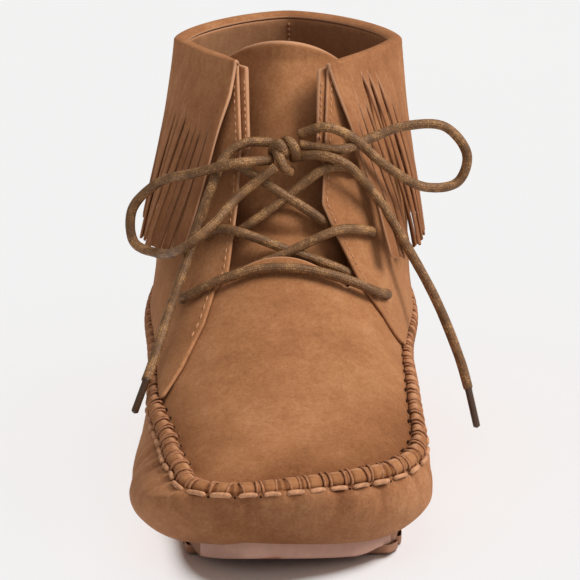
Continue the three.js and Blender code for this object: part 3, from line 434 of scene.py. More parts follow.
class Sheet:
    """An open mesh on the boot's skin: points, the skin's normals there and faces."""

    def __init__(self, points, normals, faces):
        self.points, self.normals, self.faces = points, normals, faces

    def trimmed(self, keep):
        """The part where keep(points) is above zero, cut along its zero line."""
        bm = bmesh.new()
        verts = [bm.verts.new(p) for p in self.points]
        for f in self.faces:
            bm.faces.new([verts[i] for i in f])
        bm.verts.index_update()
        value = keep(self.points)
        bm.edges.ensure_lookup_table()
        ends = np.array([[v.index for v in e.verts] for e in bm.edges])
        a, b = value[ends[:, 0]], value[ends[:, 1]]
        crossing = np.nonzero((a > 0) != (b > 0))[0]
        low, high = np.zeros(len(crossing)), np.ones(len(crossing))
        pa, pb = self.points[ends[crossing, 0]], self.points[ends[crossing, 1]]
        for _ in range(10):
            middle = 0.5 * (low + high)
            same = (keep(pa + (pb - pa) * middle[:, None]) > 0) == (a[crossing] > 0)
            low, high = np.where(same, middle, low), np.where(same, high, middle)
        edges = [bm.edges[i] for i in crossing]
        starts = [e.verts[0] for e in edges]
        shares = np.clip(0.5 * (low + high), 0.04, 0.96).tolist()
        fresh = {bmesh.utils.edge_split(e, v, t)[1] for e, v, t in zip(edges, starts, shares)}
        bm.verts.index_update()
        kept = {v for v, s in zip(verts, value) if s > 0}
        for f in list(bm.faces):
            new = [v for v in f.verts if v in fresh]
            if len(new) == 2:
                i, j = (list(f.verts).index(v) for v in new)
                if abs(i - j) not in (1, len(f.verts) - 1):
                    bmesh.utils.face_split(f, *new)
            elif len(new) == 4:
                bmesh.ops.connect_verts(bm, verts=new)
        for f in list(bm.faces):
            old = [v for v in f.verts if v not in fresh]
            if old and not all(v in kept for v in old):
                bm.faces.remove(f)
        for v in [v for v in bm.verts if not v.link_faces]:
            bm.verts.remove(v)
        bm.verts.index_update()
        points = np.array([v.co for v in bm.verts], float)
        faces = [[v.index for v in f.verts] for f in bm.faces]
        bm.free()
        return Sheet(points, normal_at(points), faces)


def thick(sheet, inner, outer, rim=3):
    """Closed body between two growths of a sheet, with a rounded rim along its open edges.

    Returns points, faces, kinds (0 outside, 1 inside, 2 rim), each point's source in the sheet,
    and 1 for the points on the rim."""
    n = len(sheet.points)
    inner, outer = np.broadcast_to(inner, n).astype(float), np.broadcast_to(outer, n).astype(float)
    middle, half = 0.5 * (inner + outer), 0.5 * (outer - inner)
    directed = {pair: True for f in sheet.faces for pair in zip(f, f[1:] + f[:1])}
    border = [(a, b) for a, b in directed if (b, a) not in directed]
    away, near = {}, {}
    for a, b in border:
        out = np.cross(sheet.points[b] - sheet.points[a], 0.5 * (sheet.normals[a] + sheet.normals[b]))
        length = np.linalg.norm(out)
        for v, w in ((a, b), (b, a)):
            near.setdefault(v, []).append(w)
            if length > 1e-9:
                away[v] = away.get(v, 0) + out / length
    for v in near:
        away.setdefault(v, np.zeros(3))
    # The rim's outward direction, evened out along the edge
    for _ in range(2):
        away = {v: away[v] + 0.5 * sum(unit(away[w]) for w in near[v]) for v in away}
    loop = list(away)
    place = {v: 2 * n + i * rim for i, v in enumerate(loop)}
    rows = np.zeros((len(loop) * rim, 3))
    for i, v in enumerate(loop):
        out = unit(away[v] - sheet.normals[v] * (away[v] @ sheet.normals[v]))
        for k in range(rim):
            angle = math.pi * (k + 1) / (rim + 1)
            level = sheet.normals[v] * (middle[v] + half[v] * math.cos(angle))
            rows[i * rim + k] = sheet.points[v] + level + out * (half[v] * math.sin(angle))
    outside, inside = (sheet.points + sheet.normals * growth[:, None] for growth in (outer, inner))
    faces = [list(f) for f in sheet.faces] + [[i + n for i in reversed(f)] for f in sheet.faces]
    kinds = [0] * len(sheet.faces) + [1] * len(sheet.faces)
    for a, b in border:
        left, right = ([v, *range(place[v], place[v] + rim), v + n] for v in (a, b))
        for k in range(rim + 1):
            faces.append([left[k], left[k + 1], right[k + 1], right[k]])
            kinds.append(2)
    source = np.concatenate([np.arange(n), np.arange(n), np.repeat(np.array(loop, int), rim)])
    on_rim = np.repeat([0.0, 1.0], [2 * n, len(rows)])
    return np.vstack([outside, inside, rows]), faces, np.array(kinds), source, on_rim


def ring_faces(rings, count, turned=False, closed=False):
    """Quads between rings of count points, the last ring joined to the first where closed."""
    faces = []
    for i in range(rings if closed else rings - 1):
        for j in range(count):
            k, m = (i + 1) % rings, (j + 1) % count
            a, b, c, d = i * count + j, i * count + m, k * count + m, k * count + j
            faces.append([a, d, c, b] if turned else [a, b, c, d])
    return faces


def capped(rings):
    """Points and faces of a body through rings of points, closed at both ends."""
    count, sides = rings.shape[:2]
    caps = [list(reversed(range(sides))), [(count - 1) * sides + j for j in range(sides)]]
    return rings.reshape(-1, 3), ring_faces(count, sides) + caps


def tube_mesh(path, radii, sides):
    """Points and faces of a closed tube, with one radius for each point of its path."""
    run = unit(np.gradient(path, axis=0))
    up = np.array([0.0, 0.0, 1.0]) if abs(run[0][2]) < 0.9 else np.array([0.0, 1.0, 0.0])
    side = unit(np.cross(run[0], up))
    angles = 2 * np.pi * np.arange(sides)[:, None] / sides
    rings = []
    for p, t, r in zip(path, run, radii):
        side = unit(side - t * (side @ t))
        rings.append(p + (np.cos(angles) * side + np.sin(angles) * np.cross(t, side)) * r)
    return capped(np.array(rings))


def rounded_ends(path, radius, reach=None):
    """Radii along a path that close it with rounded ends."""
    run = lengths_of(path)
    t = np.clip(1 - np.minimum(run, run[-1] - run) / (reach or radius), 0, 1)
    return radius * np.sqrt(np.maximum(1 - t * t, 0.02))


class Pile:
    """Many small bodies gathered into one mesh."""

    def __init__(self):
        self.points, self.faces, self.kinds, self.values, self.count = [], [], [], {}, 0

    def add(self, points, faces, kind=0, **values):
        self.points.append(points)
        self.faces += [[i + self.count for i in f] for f in faces]
        self.kinds += [kind] * len(faces) if np.ndim(kind) == 0 else list(kind)
        for key, value in values.items():
            self.values.setdefault(key, []).append(np.broadcast_to(value, len(points)))
        self.count += len(points)

    def object(self, name, materials, **rest):
        attributes = {k: np.concatenate(v) for k, v in self.values.items()}
        return make_object(name, np.vstack(self.points), self.faces, materials, self.kinds, attributes, **rest)


def wavering(length, count, seed, low=-1.0, high=1.0):
    """A smooth random function of 0..length with about count bends."""
    values = np.random.default_rng(seed).uniform(low, high, count + 3)
    at = np.linspace(0, length, count + 3)

    def value(s):
        s = np.clip(s, 0, length)
        i = np.clip(np.searchsorted(at, s) - 1, 0, count + 1)
        t = (s - at[i]) / (at[i + 1] - at[i])
        t = t * t * (3 - 2 * t)
        return values[i] * (1 - t) + values[i + 1] * t

    return value


# ---------------------------------------------------------------- materials
class Nodes:
    """A material's nodes: each method adds some and gives the last one's output."""

    def __init__(self, name):
        self.material = bpy.data.materials.new(name)
        self.material.use_nodes = True
        self.tree = self.material.node_tree
        self.where = self.add("TexCoord", "Object")

    def feed(self, node, inputs):
        for socket, value in inputs.items():
            if isinstance(value, bpy.types.NodeSocket):
                self.tree.links.new(value, node.inputs[socket])
            else:
                node.inputs[socket].default_value = value

    def add(self, kind, output, inputs=None, **settings):
        node = self.tree.nodes.new("ShaderNode" + kind)
        for key, value in settings.items():
            setattr(node, key, value)
        self.feed(node, inputs or {})
        return node.outputs[output]

    def attribute(self, name):
        return self.add("Attribute", "Fac", attribute_name=name)

    def math(self, operation, a, b=0.0, clamp=False):
        return self.add("Math", 0, {0: a, 1: b}, operation=operation, use_clamp=clamp)

    def total(self, base, *parts):
        """base and each output of parts times its share."""
        for source, share in parts:
            base = self.math("ADD", base, self.math("MULTIPLY", source, share))
        return base

    def noise(self, scale, detail=4.0, roughness=0.6, stretch=None):
        where = self.where
        if stretch:
            where = self.add("Mapping", "Vector", {"Scale": stretch, "Vector": where})
        inputs = {"Scale": scale, "Detail": detail, "Roughness": roughness, "Vector": where}
        return self.add("TexNoise", "Fac", inputs)

    def ramp(self, source, *stops):
        colour = self.add("ValToRGB", "Color", {"Fac": source})
        elements = colour.node.color_ramp.elements
        while len(elements) < len(stops):
            elements.new(0.5)
        for element, (at, rgb) in zip(elements, stops):
            element.position = at
            element.color = (*rgb, 1.0)
        return colour

    def mix(self, share, a, b, kind="MIX"):
        a, b = ((*c, 1.0) if isinstance(c, tuple) else c for c in (a, b))
        return self.add("Mix", 2, {0: share, 6: a, 7: b}, data_type="RGBA", blend_type=kind)

    def finished(self, colour, roughness, specular, bumps=(), more=None):
        """The material, with chained bumps of (height, strength, distance in mm)."""
        inputs = {"Base Color": colour, "Roughness": roughness, "Specular IOR Level": specular, **(more or {})}
        for height, strength, distance in bumps:
            rough = {"Strength": strength, "Distance": distance * MM, "Height": height}
            if "Normal" in inputs:
                rough["Normal"] = inputs["Normal"]
            inputs["Normal"] = self.add("Bump", "Normal", rough)
        self.feed(self.tree.nodes["Principled BSDF"], inputs)
        return self.material


def srgb(colour):
    """Linear shares of a colour given in bytes."""
    shares = [v / 255.0 for v in colour]
    return tuple(v / 12.92 if v <= 0.04045 else ((v + 0.055) / 1.055) ** 2.4 for v in shares)


def suede(name, *colours):
    """Napped leather of a dark, a middle and a light colour, with another for its cut edges."""
    dark, base, light, edge = map(srgb, colours)
    nodes = Nodes(name)
    broad, patch = nodes.noise(38.0), nodes.noise(140.0, 5.0, 0.65)
    streak = nodes.noise(420.0, 4.0, 0.7, stretch=(1.0, 1.0, 0.22))
    fine, grit = nodes.noise(2600.0, 3.0, 0.7), nodes.noise(900.0, 3.0, 0.75)
    tone = nodes.total(0.0, (broad, 0.36), (patch, 0.17), (streak, 0.19), (grit, 0.28))
    colour = nodes.ramp(tone, (0.3, dark), (0.5, base), (0.72, light))
    speck = nodes.ramp(fine, (0.3, (0.76, 0.76, 0.76)), (0.7, (1.2, 1.2, 1.2)))
    colour = nodes.mix(0.6, colour, speck, "MULTIPLY")
    colour = nodes.mix(nodes.math("MULTIPLY", nodes.attribute("edge"), 0.75, clamp=True), colour, edge)
    # Painted shade, from the shade attribute, is warm: it takes most from blue and least from red
    shade = nodes.attribute("shade")
    held = [nodes.math("MULTIPLY", shade, share) for share in (0.84, 1.0, 1.12)]
    left = [nodes.math("SUBTRACT", 1.0, taken, clamp=True) for taken in held]
    colour = nodes.mix(1.0, colour, nodes.add("CombineColor", "Color", dict(enumerate(left))), "MULTIPLY")
    sheen = {"Sheen Weight": 0.35, "Sheen Roughness": 0.45, "Sheen Tint": (*light, 1.0)}
    bumps = ((patch, 0.2, 0.7), (streak, 0.25, 0.3), (grit, 0.3, 0.2), (fine, 0.35, 0.12))
    return nodes.finished(colour, 0.92, 0.18, bumps, sheen)


def waxed(name, *colours):
    """Round waxed lace: fine pale specks in slanting rows over a darker braid."""
    dark, base, light = map(srgb, colours)
    nodes = Nodes(name)
    run, turn = nodes.attribute("run"), nodes.attribute("turn")

    def braid(sign):
        phase = nodes.total(0.0, (run, 0.8), (turn, sign * 6.0))
        return nodes.math("SINE", nodes.math("MULTIPLY", phase, 2 * math.pi))

    weave = nodes.math("MULTIPLY", braid(1), braid(-1))
    patch, fleck = nodes.noise(210.0, 3.0), nodes.noise(1900.0, 2.0, 0.8)
    level = nodes.total(0.02, (weave, 0.05), (patch, 0.42), (fleck, 0.56))
    colour = nodes.ramp(level, (0.34, dark), (0.52, base), (0.66, light))
    return nodes.finished(colour, 0.55, 0.3, ((weave, 0.35, 0.14), (fleck, 0.5, 0.14)))


def plain(name, colour, roughness, specular=0.4, grain=600.0, spread=0.12, depth=0.08):
    nodes = Nodes(name)
    fac = nodes.noise(grain)
    low, high = (tuple(min(c * (1 + s), 1) for c in srgb(colour)) for s in (-spread, spread))
    return nodes.finished(nodes.ramp(fac, (0.35, low), (0.65, high)), roughness, specular, ((fac, 0.3, depth),))


SUEDE = suede("suede", (120, 74, 44), (160, 108, 70), (190, 140, 100), (200, 150, 116))
# The wrap's suede: the plug's leather painted a little lighter, painted light for the bright sides of the wrap
WRAP_PAINTED_LIGHTER = suede("wrap_suede_painted_lighter", (120, 74, 46), (164, 112, 76), (200, 152, 112), (190, 134, 104))
CUFF = suede("cuff_suede", (112, 68, 42), (154, 102, 66), (186, 136, 96), (206, 158, 124))
FLESH = suede("flesh_side", (96, 66, 46), (124, 88, 60), (150, 110, 78), (190, 134, 104))
# The lining's colours are raised: painted light for the inside of the boot, where little light reaches
LINING_PAINTED_LIGHTER = suede("lining", (134, 92, 62), (164, 116, 82), (188, 142, 104), (206, 158, 124))
THREAD = plain("thread", (160, 110, 78), 0.85, 0.2, 900.0, 0.25)
DASH = plain("long_stitch", (184, 134, 100), 0.85, 0.2, 700.0, 0.25)
LACE = waxed("waxed_lace", (84, 58, 36), (114, 80, 50), (182, 136, 88))
AGLET = plain("aglet", (70, 48, 32), 0.32, 0.5, 300.0, 0.06, 0.02)
SOLE = plain("sole", (196, 152, 134), 0.6, 0.4, 260.0, 0.06, 0.1)
# Brown of the lugs and the sole's sides, darker in part as painted shade for the tread in shadow under the toe
TREAD_BROWN_AND_SHADE = plain("tread", (150, 108, 84), 0.75, 0.3, 400.0, 0.1, 0.15)
SOCK = plain("insole", (150, 118, 84), 0.9, 0.2, 1200.0, 0.12, 0.1)
# Dark marks laid over the stitch holes: painted shade in the holes
HOLE_PAINTED_SHADE = plain("stitch_hole_painted_shade", (52, 30, 20), 0.95, 0.1, 800.0, 0.2)


# ---------------------------------------------------------------- skin of the whole boot
HINGE = np.array([0.0, -0.36 * BOOT_LENGTH, 1.19 * COLLAR_HEIGHT])
TOE_RINGS = 34
TOE_FIRST = 0.0015
TOE_REACH = 0.995
HEEL_LIMIT = BACK - 0.2
FAN_RINGS = 150
ROUND = 240


def section_ring(origin, down):
    """The form's section in the plane of down and the X axis, below an outside point."""
    entry = surface_met(origin, down)
    depths = np.arange(2, 400, 2.0)
    inside = field(entry + down * depths[:, None]) < 0
    depth = depths[np.argmin(inside)] if not inside.all() else depths[-1]
    angles = 2 * np.pi * np.arange(ROUND) / ROUND
    directions = np.cos(angles)[:, None] * np.array([1.0, 0, 0]) + np.sin(angles)[:, None] * down
    return surface_from(entry + down * (0.5 * depth), directions)


def skin_sheet():
    """Sections across the toe, then a fan of them about a line high over it, round to the heel."""
    rings = []
    for share in np.linspace(0.0, 1.0, TOE_RINGS, endpoint=False) ** 2 * TOE_REACH + TOE_FIRST:
        y = FRONT + share * (HINGE[1] - FRONT)
        rings.append(section_ring(np.array([plan(y)[1], y, HINGE[2]]), np.array([0.0, 0, -1.0])))
    for degrees in np.linspace(0, 90, FAN_RINGS):
        angle, turned = math.radians(degrees), smooth(degrees, 0, 30)
        middle = plan(HINGE[1])[1] * (1 - turned) + SHAFT_OFFSET * turned
        down = np.array([0.0, math.sin(angle), -math.cos(angle)])
        rings.append(section_ring(np.array([float(middle), HINGE[1], HINGE[2]]), down))
    points = np.vstack([*rings, rings[0].mean(axis=0)])
    points[:, 1] = np.minimum(points[:, 1], HEEL_LIMIT)
    faces = ring_faces(len(rings), ROUND, turned=True)
    faces += [[len(points) - 1, j, (j + 1) % ROUND] for j in range(ROUND)]
    sheet = Sheet(points, normal_at(points), faces)
    a, b, c = points[faces[0][:3]]
    if np.cross(b - a, c - a) @ sheet.normals[faces[0][0]] < 0:
        sheet.faces = [f[::-1] for f in faces]
    return sheet


def edge_at(table, z, side):
    return table.straight(side, z / COLLAR_HEIGHT) * (-1 if side == "inner" else 1)


def beside_edges(table, p, set_back=0.0):
    """Distance across, outside the two front edges of such a table; below zero between them."""
    inner = edge_at(table, p[..., 2], "inner") - set_back
    outer = edge_at(table, p[..., 2], "outer") + set_back
    return np.maximum(inner - p[..., 0], p[..., 0] - outer)


def throat(p, set_back, floor=True):
    """Below zero inside the throat's opening, which the plug's edge closes below."""
    opening = np.maximum(beside_edges(FACING, p, set_back), p[..., 1] - THROAT_REACH)
    if floor:
        share = p[..., 0] / BALL_WIDTH
        arch = THROAT_FLOOR + (THROAT_ARCH + PLUG_LIP) * (1 - np.clip((share / 0.22) ** 2, 0, 3))
        opening = np.maximum(opening, np.maximum(arch, THROAT_FLOOR) - p[..., 2])
    return opening


HOLES = []
for hole_height, hole_inner, hole_outer in LACE_HOLES:
    for hole_x in (-hole_inner, hole_outer):
        hole_centre = on_front(hole_x * BALL_WIDTH, hole_height * COLLAR_HEIGHT)
        HOLES.append((hole_centre, normal_at(hole_centre)))


def outside_holes(p, radius):
    clear = np.full(p.shape[:-1], 1e9)
    for centre, normal in HOLES:
        d = p - centre
        along = d @ normal
        far = np.linalg.norm(d - along[..., None] * normal, axis=-1) - radius
        clear = np.minimum(clear, np.where(np.abs(along) < 12, far, 1e9))
    return clear


# ---------------------------------------------------------------- line of the moccasin seam
def round_boot(height_at, side_steps=170, end_steps=110):
    """Points on the form at a given height, down the inner side, round the toe and back."""
    front, back = FRONT + END_ZONE, BACK - END_ZONE
    along = (back - front) * np.arange(side_steps) / side_steps
    turn = np.pi * np.arange(end_steps) / end_steps
    ones, still = np.ones(side_steps), np.zeros(side_steps)
    ys = np.concatenate([back - along, np.full(end_steps, front), front + along, np.full(end_steps, back)])
    across = np.concatenate([-ones, -np.cos(turn), ones, np.cos(turn)])
    lengthwise = np.concatenate([still, -np.sin(turn), still, np.sin(turn)])
    directions = np.stack([across, lengthwise, np.zeros_like(ys)], axis=1)
    start = np.stack([plan(ys)[1], ys, height_at(ys, across)], axis=1)
    for _ in range(3):
        start[:, 2] = height_at(surface_from(start, directions)[:, 1], across)
    return surface_from(start, directions)


SEAM_STITCH = 7.4
STITCH_STEPS = 12
seam_raw = round_boot(seam_height)
seam_raw = np.vstack([seam_raw, seam_raw[:1]])
STITCHES = int(round(lengths_of(seam_raw)[-1] / SEAM_STITCH))
SEAM_STEPS = STITCHES * STITCH_STEPS
SEAM_PATH = even(seam_raw, SEAM_STEPS + 1)[:-1]
SEAM_NORMAL = normal_at(SEAM_PATH)
seam_run = unit(np.roll(SEAM_PATH, -1, axis=0) - np.roll(SEAM_PATH, 1, axis=0))
SEAM_OUT = unit(SEAM_NORMAL - seam_run * np.sum(SEAM_NORMAL * seam_run, axis=1)[:, None])
SEAM_UP = np.cross(seam_run, SEAM_OUT)
SEAM_UP *= np.sign(SEAM_UP[:, 2:3])
# From 0 on the shaft's side of the boot to 1 round the toe
SEAM_TOE = smooth(-SEAM_PATH[:, 1], 30, 95)
seam_tree = KDTree(SEAM_STEPS)
for seam_index, seam_point in enumerate(SEAM_PATH):
    seam_tree.insert(seam_point, seam_index)
seam_tree.balance()


def beside_seam(points):
    """For each point: its place along the seam (0..STITCHES), its signed distance above and the nearest row."""
    index = np.array([seam_tree.find(p)[1] for p in points])
    away = points - SEAM_PATH[index]
    along_run = np.sum(away * seam_run[index], axis=1)
    return index / STITCH_STEPS + along_run / SEAM_STITCH, np.sum(away * SEAM_UP[index], axis=1), index


def ripple(p, size, seed):
    """Smooth unevenness near -1..1 with features about size mm long."""
    rng = np.random.default_rng(seed)
    total = np.zeros(len(p))
    for k in range(7):
        direction = unit(rng.normal(size=3))
        total += np.sin(p @ direction * (2 * math.pi / (size * rng.uniform(0.7, 1.8))) + rng.uniform(0, 6.3))
    return total / 3.2


def crease(p, start, end, width, depth):
    """A soft trough along a line, fading at both ends; below zero in the trough."""
    start, end = np.array(start, float), np.array(end, float)
    run = end - start
    t = np.clip((p - start) @ run / (run @ run), 0, 1)
    far = np.linalg.norm(p - (start + t[:, None] * run), axis=1)
    return -depth * np.exp(-((far / width) ** 2)) * np.sin(np.pi * np.clip(0.04 + 0.92 * t, 0, 1)) ** 0.7


# ---------------------------------------------------------------- upper: wrap, plug and inner shaft
SKIN = skin_sheet()
RIM = 0.5 * UPPER_WALL


def build_upper():
    def keep(p):
        top = COLLAR_HEIGHT - RIM - p[..., 2]
        inwards = UNDERLAP + RIM - (UNDERLAP + 1.9) * smooth(p[..., 2], 107, 113)
        return np.minimum(np.minimum(throat(p, inwards), top), outside_holes(p, 2.0))

    sheet = SKIN.trimmed(keep)
    p = sheet.points
    stitch, above, index = beside_seam(p)
    toe = SEAM_TOE[index]
    below = np.maximum(-above, 0)
    over = np.maximum(above, 0)
    on_wrap = p[:, 2] < SEAM_PATH[index][:, 2] + 1
    # Gathers under the stitches of the wrap: deep where it is drawn round the toe, shallow along the sides
    strength = wavering(STITCHES, 26, 3, 0.15, 1.0)(np.mod(stitch, STITCHES))
    wide = wavering(STITCHES, 34, 5, -1.0, 1.0)(np.mod(stitch, STITCHES))
    gather = np.cos(2 * math.pi * stitch) * 0.5 + 0.45 * np.cos(2 * math.pi * (0.5 * stitch + 0.2)) + 0.6 * wide
    wrap = np.where(on_wrap, gather * strength * (0.25 + 0.75 * toe) * np.exp(-((below / 11.0) ** 1.4)), 0.0)
    plug = np.where(~on_wrap, np.cos(2 * math.pi * stitch) * 0.18 * np.exp(-((over / 4.0) ** 2)), 0.0)
    above_sole = p[:, 2] - sole_top(p[:, 1])
    wrap *= smooth(above_sole, 5, 13)
    growth = 2.0 * wrap + plug
    growth -= 0.45 * np.exp(-((above / 4.2) ** 2))
    growth += 0.32 * ripple(p, 46, 11) + 0.12 * ripple(p, 15, 12)
    # Where the foot bends: creases across the vamp and beside it
    for start, end, width, depth in (
        ((-30, -70, 62), (14, -60, 66), 3.4, 0.55),
        ((-22, -52, 70), (26, -46, 70), 4.0, 0.5),
        ((24, -78, 58), (36, -44, 52), 3.6, 0.5),
        ((-36, -80, 48), (-42, -40, 44), 3.6, 0.5),
        ((44, -70, 22), (47, -20, 27), 5.0, 0.7),
        ((-42, -74, 20), (-46, -24, 26), 5.0, 0.7),
    ):
        growth += crease(p, start, end, width, depth)
    growth = np.where(p[:, 2] > 60, np.minimum(growth, 0.1), growth)
    growth *= smooth(above_sole, -0.5, 5)
    fore = smooth(-p[:, 1], 70, 105)
    growth += 2.2 * fore * np.exp(-(((above_sole - 3.0) / 3.2) ** 2))
    points, faces, kinds, source, edge = thick(sheet, -UPPER_WALL, growth)
    above_face = beside_seam(np.array([p[f].mean(axis=0) for f in sheet.faces]))[1]
    material_index = np.where(kinds == 1, 2, 1)
    material_index[: len(sheet.faces)] = np.where(above_face < 0, 0, 1)
    # Painted shade: darker beside the seam, on the wrap's front below it and the plug's low part above it at the
    # toe, and in the troughs of the gathers
    ahead = fore * np.exp(-(((p[:, 0] + 2.0) / 36.0) ** 2))
    painted_shade_under_seam = ahead * np.where(on_wrap, np.exp(-(((below - 8.0) / 10.0) ** 2)), 0.0)
    painted_shade_over_seam = smooth(-p[:, 1], 40, 85) * np.where(on_wrap, 0.0, np.exp(-((over / 15.0) ** 2)))
    shade = 0.14 * np.exp(-((above / 3.4) ** 2)) + 0.32 * painted_shade_under_seam + 0.46 * painted_shade_over_seam
    shade = shade + 0.6 * np.clip(-wrap, 0, 1)
    values = {"edge": edge, "shade": shade[source]}
    make_object("upper_skin", points, faces, [WRAP_PAINTED_LIGHTER, SUEDE, LINING_PAINTED_LIGHTER], material_index, values, "suede", ["upper"])


def build_quarters():
    reach = 0.5 * QUARTER_WALL
    above_foot = Sheet(SKIN.points, SKIN.normals, [f for f in SKIN.faces if SKIN.points[f[0]][2] > 24])
    for name, side in (("quarter_medial", -1), ("quarter_lateral", 1)):

        def keep(p):
            low = np.where(p[..., 2] > 95, 10.0, beside_seam(p)[1] - (0.5 * SEAM_WIDTH + GAP + reach))
            top = COLLAR_HEIGHT - reach - p[..., 2]
            half = side * (p[..., 0] - SHAFT_OFFSET) - 0.5 * GAP - reach
            split = np.where(p[..., 1] > 0, half, side * p[..., 0] + 5.0)
            out = np.minimum(np.minimum(low, top), split)
            return np.minimum(np.minimum(out, throat(p, reach, floor=False)), outside_holes(p, 1.7 + reach))

        sheet = above_foot.trimmed(keep)
        p = sheet.points
        soft = 0.25 * ripple(p, 38, 21) + 0.08 * ripple(p, 12, 22)
        for start, end, width, depth in (
            ((side * 40, -28, 44), (side * 46, 30, 50), 5.0, 0.6),
            ((side * 36, -20, 58), (side * 44, 40, 62), 5.5, 0.6),
            ((side * 36, 10, 74), (side * 40, 60, 70), 5.0, 0.4),
        ):
            soft += crease(p, start, end, width, depth)
        soft = np.clip(soft, -0.2, 0.6) * smooth(beside_edges(FACING, p), 1.0, 9.0)
        points, faces, kinds, source, edge = thick(sheet, QUARTER_IN + 0.5 * soft, QUARTER_OUT + soft)
        # Pale cut edges high on the facings; lower down their paleness is taken out, painted shade where the
        # edges lie in shadow
        values = {"edge": edge * (0.15 + 0.85 * smooth(points[:, 2], 74, 96))}
        make_object(name + "_suede", points, faces, [SUEDE, FLESH], kinds == 1, values, "suede", [name])


def build_stitches():
    """Fine stitching beside the facings, and the seam up the back of the lining."""
    pile = Pile()

    def dash(places, radius):
        path = even(places, 5)
        pile.add(*tube_mesh(path, rounded_ends(path, radius), 6))

    for side, outwards in (("inner", -1), ("outer", 1)):
        for heights, length, aside, growth in (
            (np.arange(57, 133, 2.3), 1.5, 1.5, QUARTER_OUT + 0.06),
            (np.arange(112, 134, 2.1), 1.4, -1.0, 0.15),
        ):
            for z in heights:
                ends = np.array([z, z + length])
                dash(on_front(edge_at(FACING, ends, side) + outwards * aside, ends, growth), 0.26)
    for z in np.arange(92, 138, 2.0):
        start = np.array([[SHAFT_OFFSET + 0.6, 45.0, z], [SHAFT_OFFSET + 0.6, 45.0, z + 1.5]])
        back = surface_from(start, np.array([0.0, 1.0, 0.0]))
        dash(back - normal_at(back) * (UPPER_WALL + 0.15), 0.34)
    pile.object("fine_stitches", [DASH], slot="suede")


# ---------------------------------------------------------------- moccasin seam
ROLL_SIDES = 16
THREAD_RADIUS = 0.42
THREAD_APART = 1.1 / SEAM_STITCH


def build_seam():
    phase = np.arange(SEAM_STEPS) / STITCH_STEPS
    # Two threads a stitch pull the roll in; between the pairs it stands up
    threads = [np.abs(np.mod(phase + apart + 0.5, 1) - 0.5) for apart in (-THREAD_APART, THREAD_APART)]
    near = np.minimum(*threads)
    pinch = np.exp(-((near * SEAM_STITCH / 0.75) ** 2))
    uneven = wavering(STITCHES, 60, 31, -1, 1)(phase)
    width = 0.5 * SEAM_WIDTH * (1 - 0.13 * pinch + 0.05 * uneven)
    rise = (SEAM_RISE + GAP) * (1 - 0.3 * pinch + 0.06 * uneven)
    angles = 2 * np.pi * (np.arange(ROLL_SIDES) + 0.5) / ROLL_SIDES
    c, s = np.cos(angles), np.sin(angles)
    flat, domed = np.sign(c) * np.abs(c) ** 0.8, np.where(s > 0, np.abs(s) ** 0.85, s * 0.3)
    rings = SEAM_PATH[:, None] + SEAM_UP[:, None] * (width[:, None] * flat)[..., None]
    rings = rings + SEAM_OUT[:, None] * (rise[:, None] * domed + 0.1)[..., None]
    # Painted shade: darker where the threads pinch the roll, along the inner side away from the key light, and
    # low on the roll's flanks
    along_inner = smooth(-SEAM_PATH[:, 0], 26, 40)
    shade = np.add.outer(0.6 * pinch + 0.2 * along_inner, np.where(np.abs(s) < 0.35, 0.2, 0.0)).ravel()
    edge = np.tile(np.where((c > 0.45) & (c < 0.95) & (s > 0), 0.7, 0.0), SEAM_STEPS)
    pile = Pile()
    faces = ring_faces(SEAM_STEPS, ROLL_SIDES, turned=True, closed=True)
    pile.add(rings.reshape(-1, 3), faces, 0, shade=shade, edge=edge)

    def at(stitch, up, out):
        step = np.mod(stitch * STITCH_STEPS, SEAM_STEPS)
        i = int(step)
        k, t = (i + 1) % SEAM_STEPS, step - i
        p, u, o = (row[i] * (1 - t) + row[k] * t for row in (SEAM_PATH, SEAM_UP, SEAM_OUT))
        return p + unit(u) * up + unit(o) * out

    def sewn(path, radius, sides, kind, reach=None):
        pile.add(*tube_mesh(path, rounded_ends(path, radius, reach), sides), kind, shade=0.0, edge=0.0)

    rng = np.random.default_rng(17)
    drop = -0.5 * SEAM_WIDTH - 1.15
    for n in range(STITCHES):
        lean = rng.uniform(-0.12, 0.2)
        for which in (-1, 1):
            s = n + rng.uniform(-0.05, 0.05) + which * THREAD_APART * rng.uniform(0.65, 1.3)
            top, low = 0.5 * SEAM_WIDTH + rng.uniform(0.2, 0.7), -0.5 * SEAM_WIDTH - rng.uniform(0.1, 0.4)
            ups = (top, 0.85 * top, 0.4 * top, 0, 0.5 * low, 0.85 * low, low)
            arch = zip(ups, (-0.1, 1.5, 2.35, 2.55, 2.3, 1.5, 0.2))
            path = [at(s + lean * (0.5 - up / (top - low)) * which, up, out) for up, out in arch]
            sewn(catmull(path, 14), THREAD_RADIUS, 7, 1)
        # Small dark mark over the hole above the pair: painted shade of the hole
        sewn(even(np.array([at(n + side, top + 0.35, -0.25) for side in (-0.16, 0.16)]), 5), THREAD_RADIUS, 7, 2)
        # Long stitch below the roll, and a dark mark, painted shade, over the hole it comes out of
        reach = rng.uniform(0.38, 0.44)
        centre = n + 0.5 + rng.uniform(-0.03, 0.03)
        tilt = rng.uniform(-0.2, 0.2)
        shares = np.linspace(-1, 1, 12)
        path = np.array([at(centre + t * reach, drop + t * tilt, 0.35 + 0.45 * (1 - t * t)) for t in shares])
        sewn(path, rng.uniform(0.72, 0.9), 9, 3, 1.1)
        sewn(even(np.array([at(n + side, drop - 0.1, -0.15) for side in (0.95, 1.05)]), 4), 0.5, 7, 2)
    materials = [SUEDE, THREAD, HOLE_PAINTED_SHADE, DASH]
    pile.object("moccasin_seam_roll", materials, slot="suede", replaces=["moccasin_seam"])


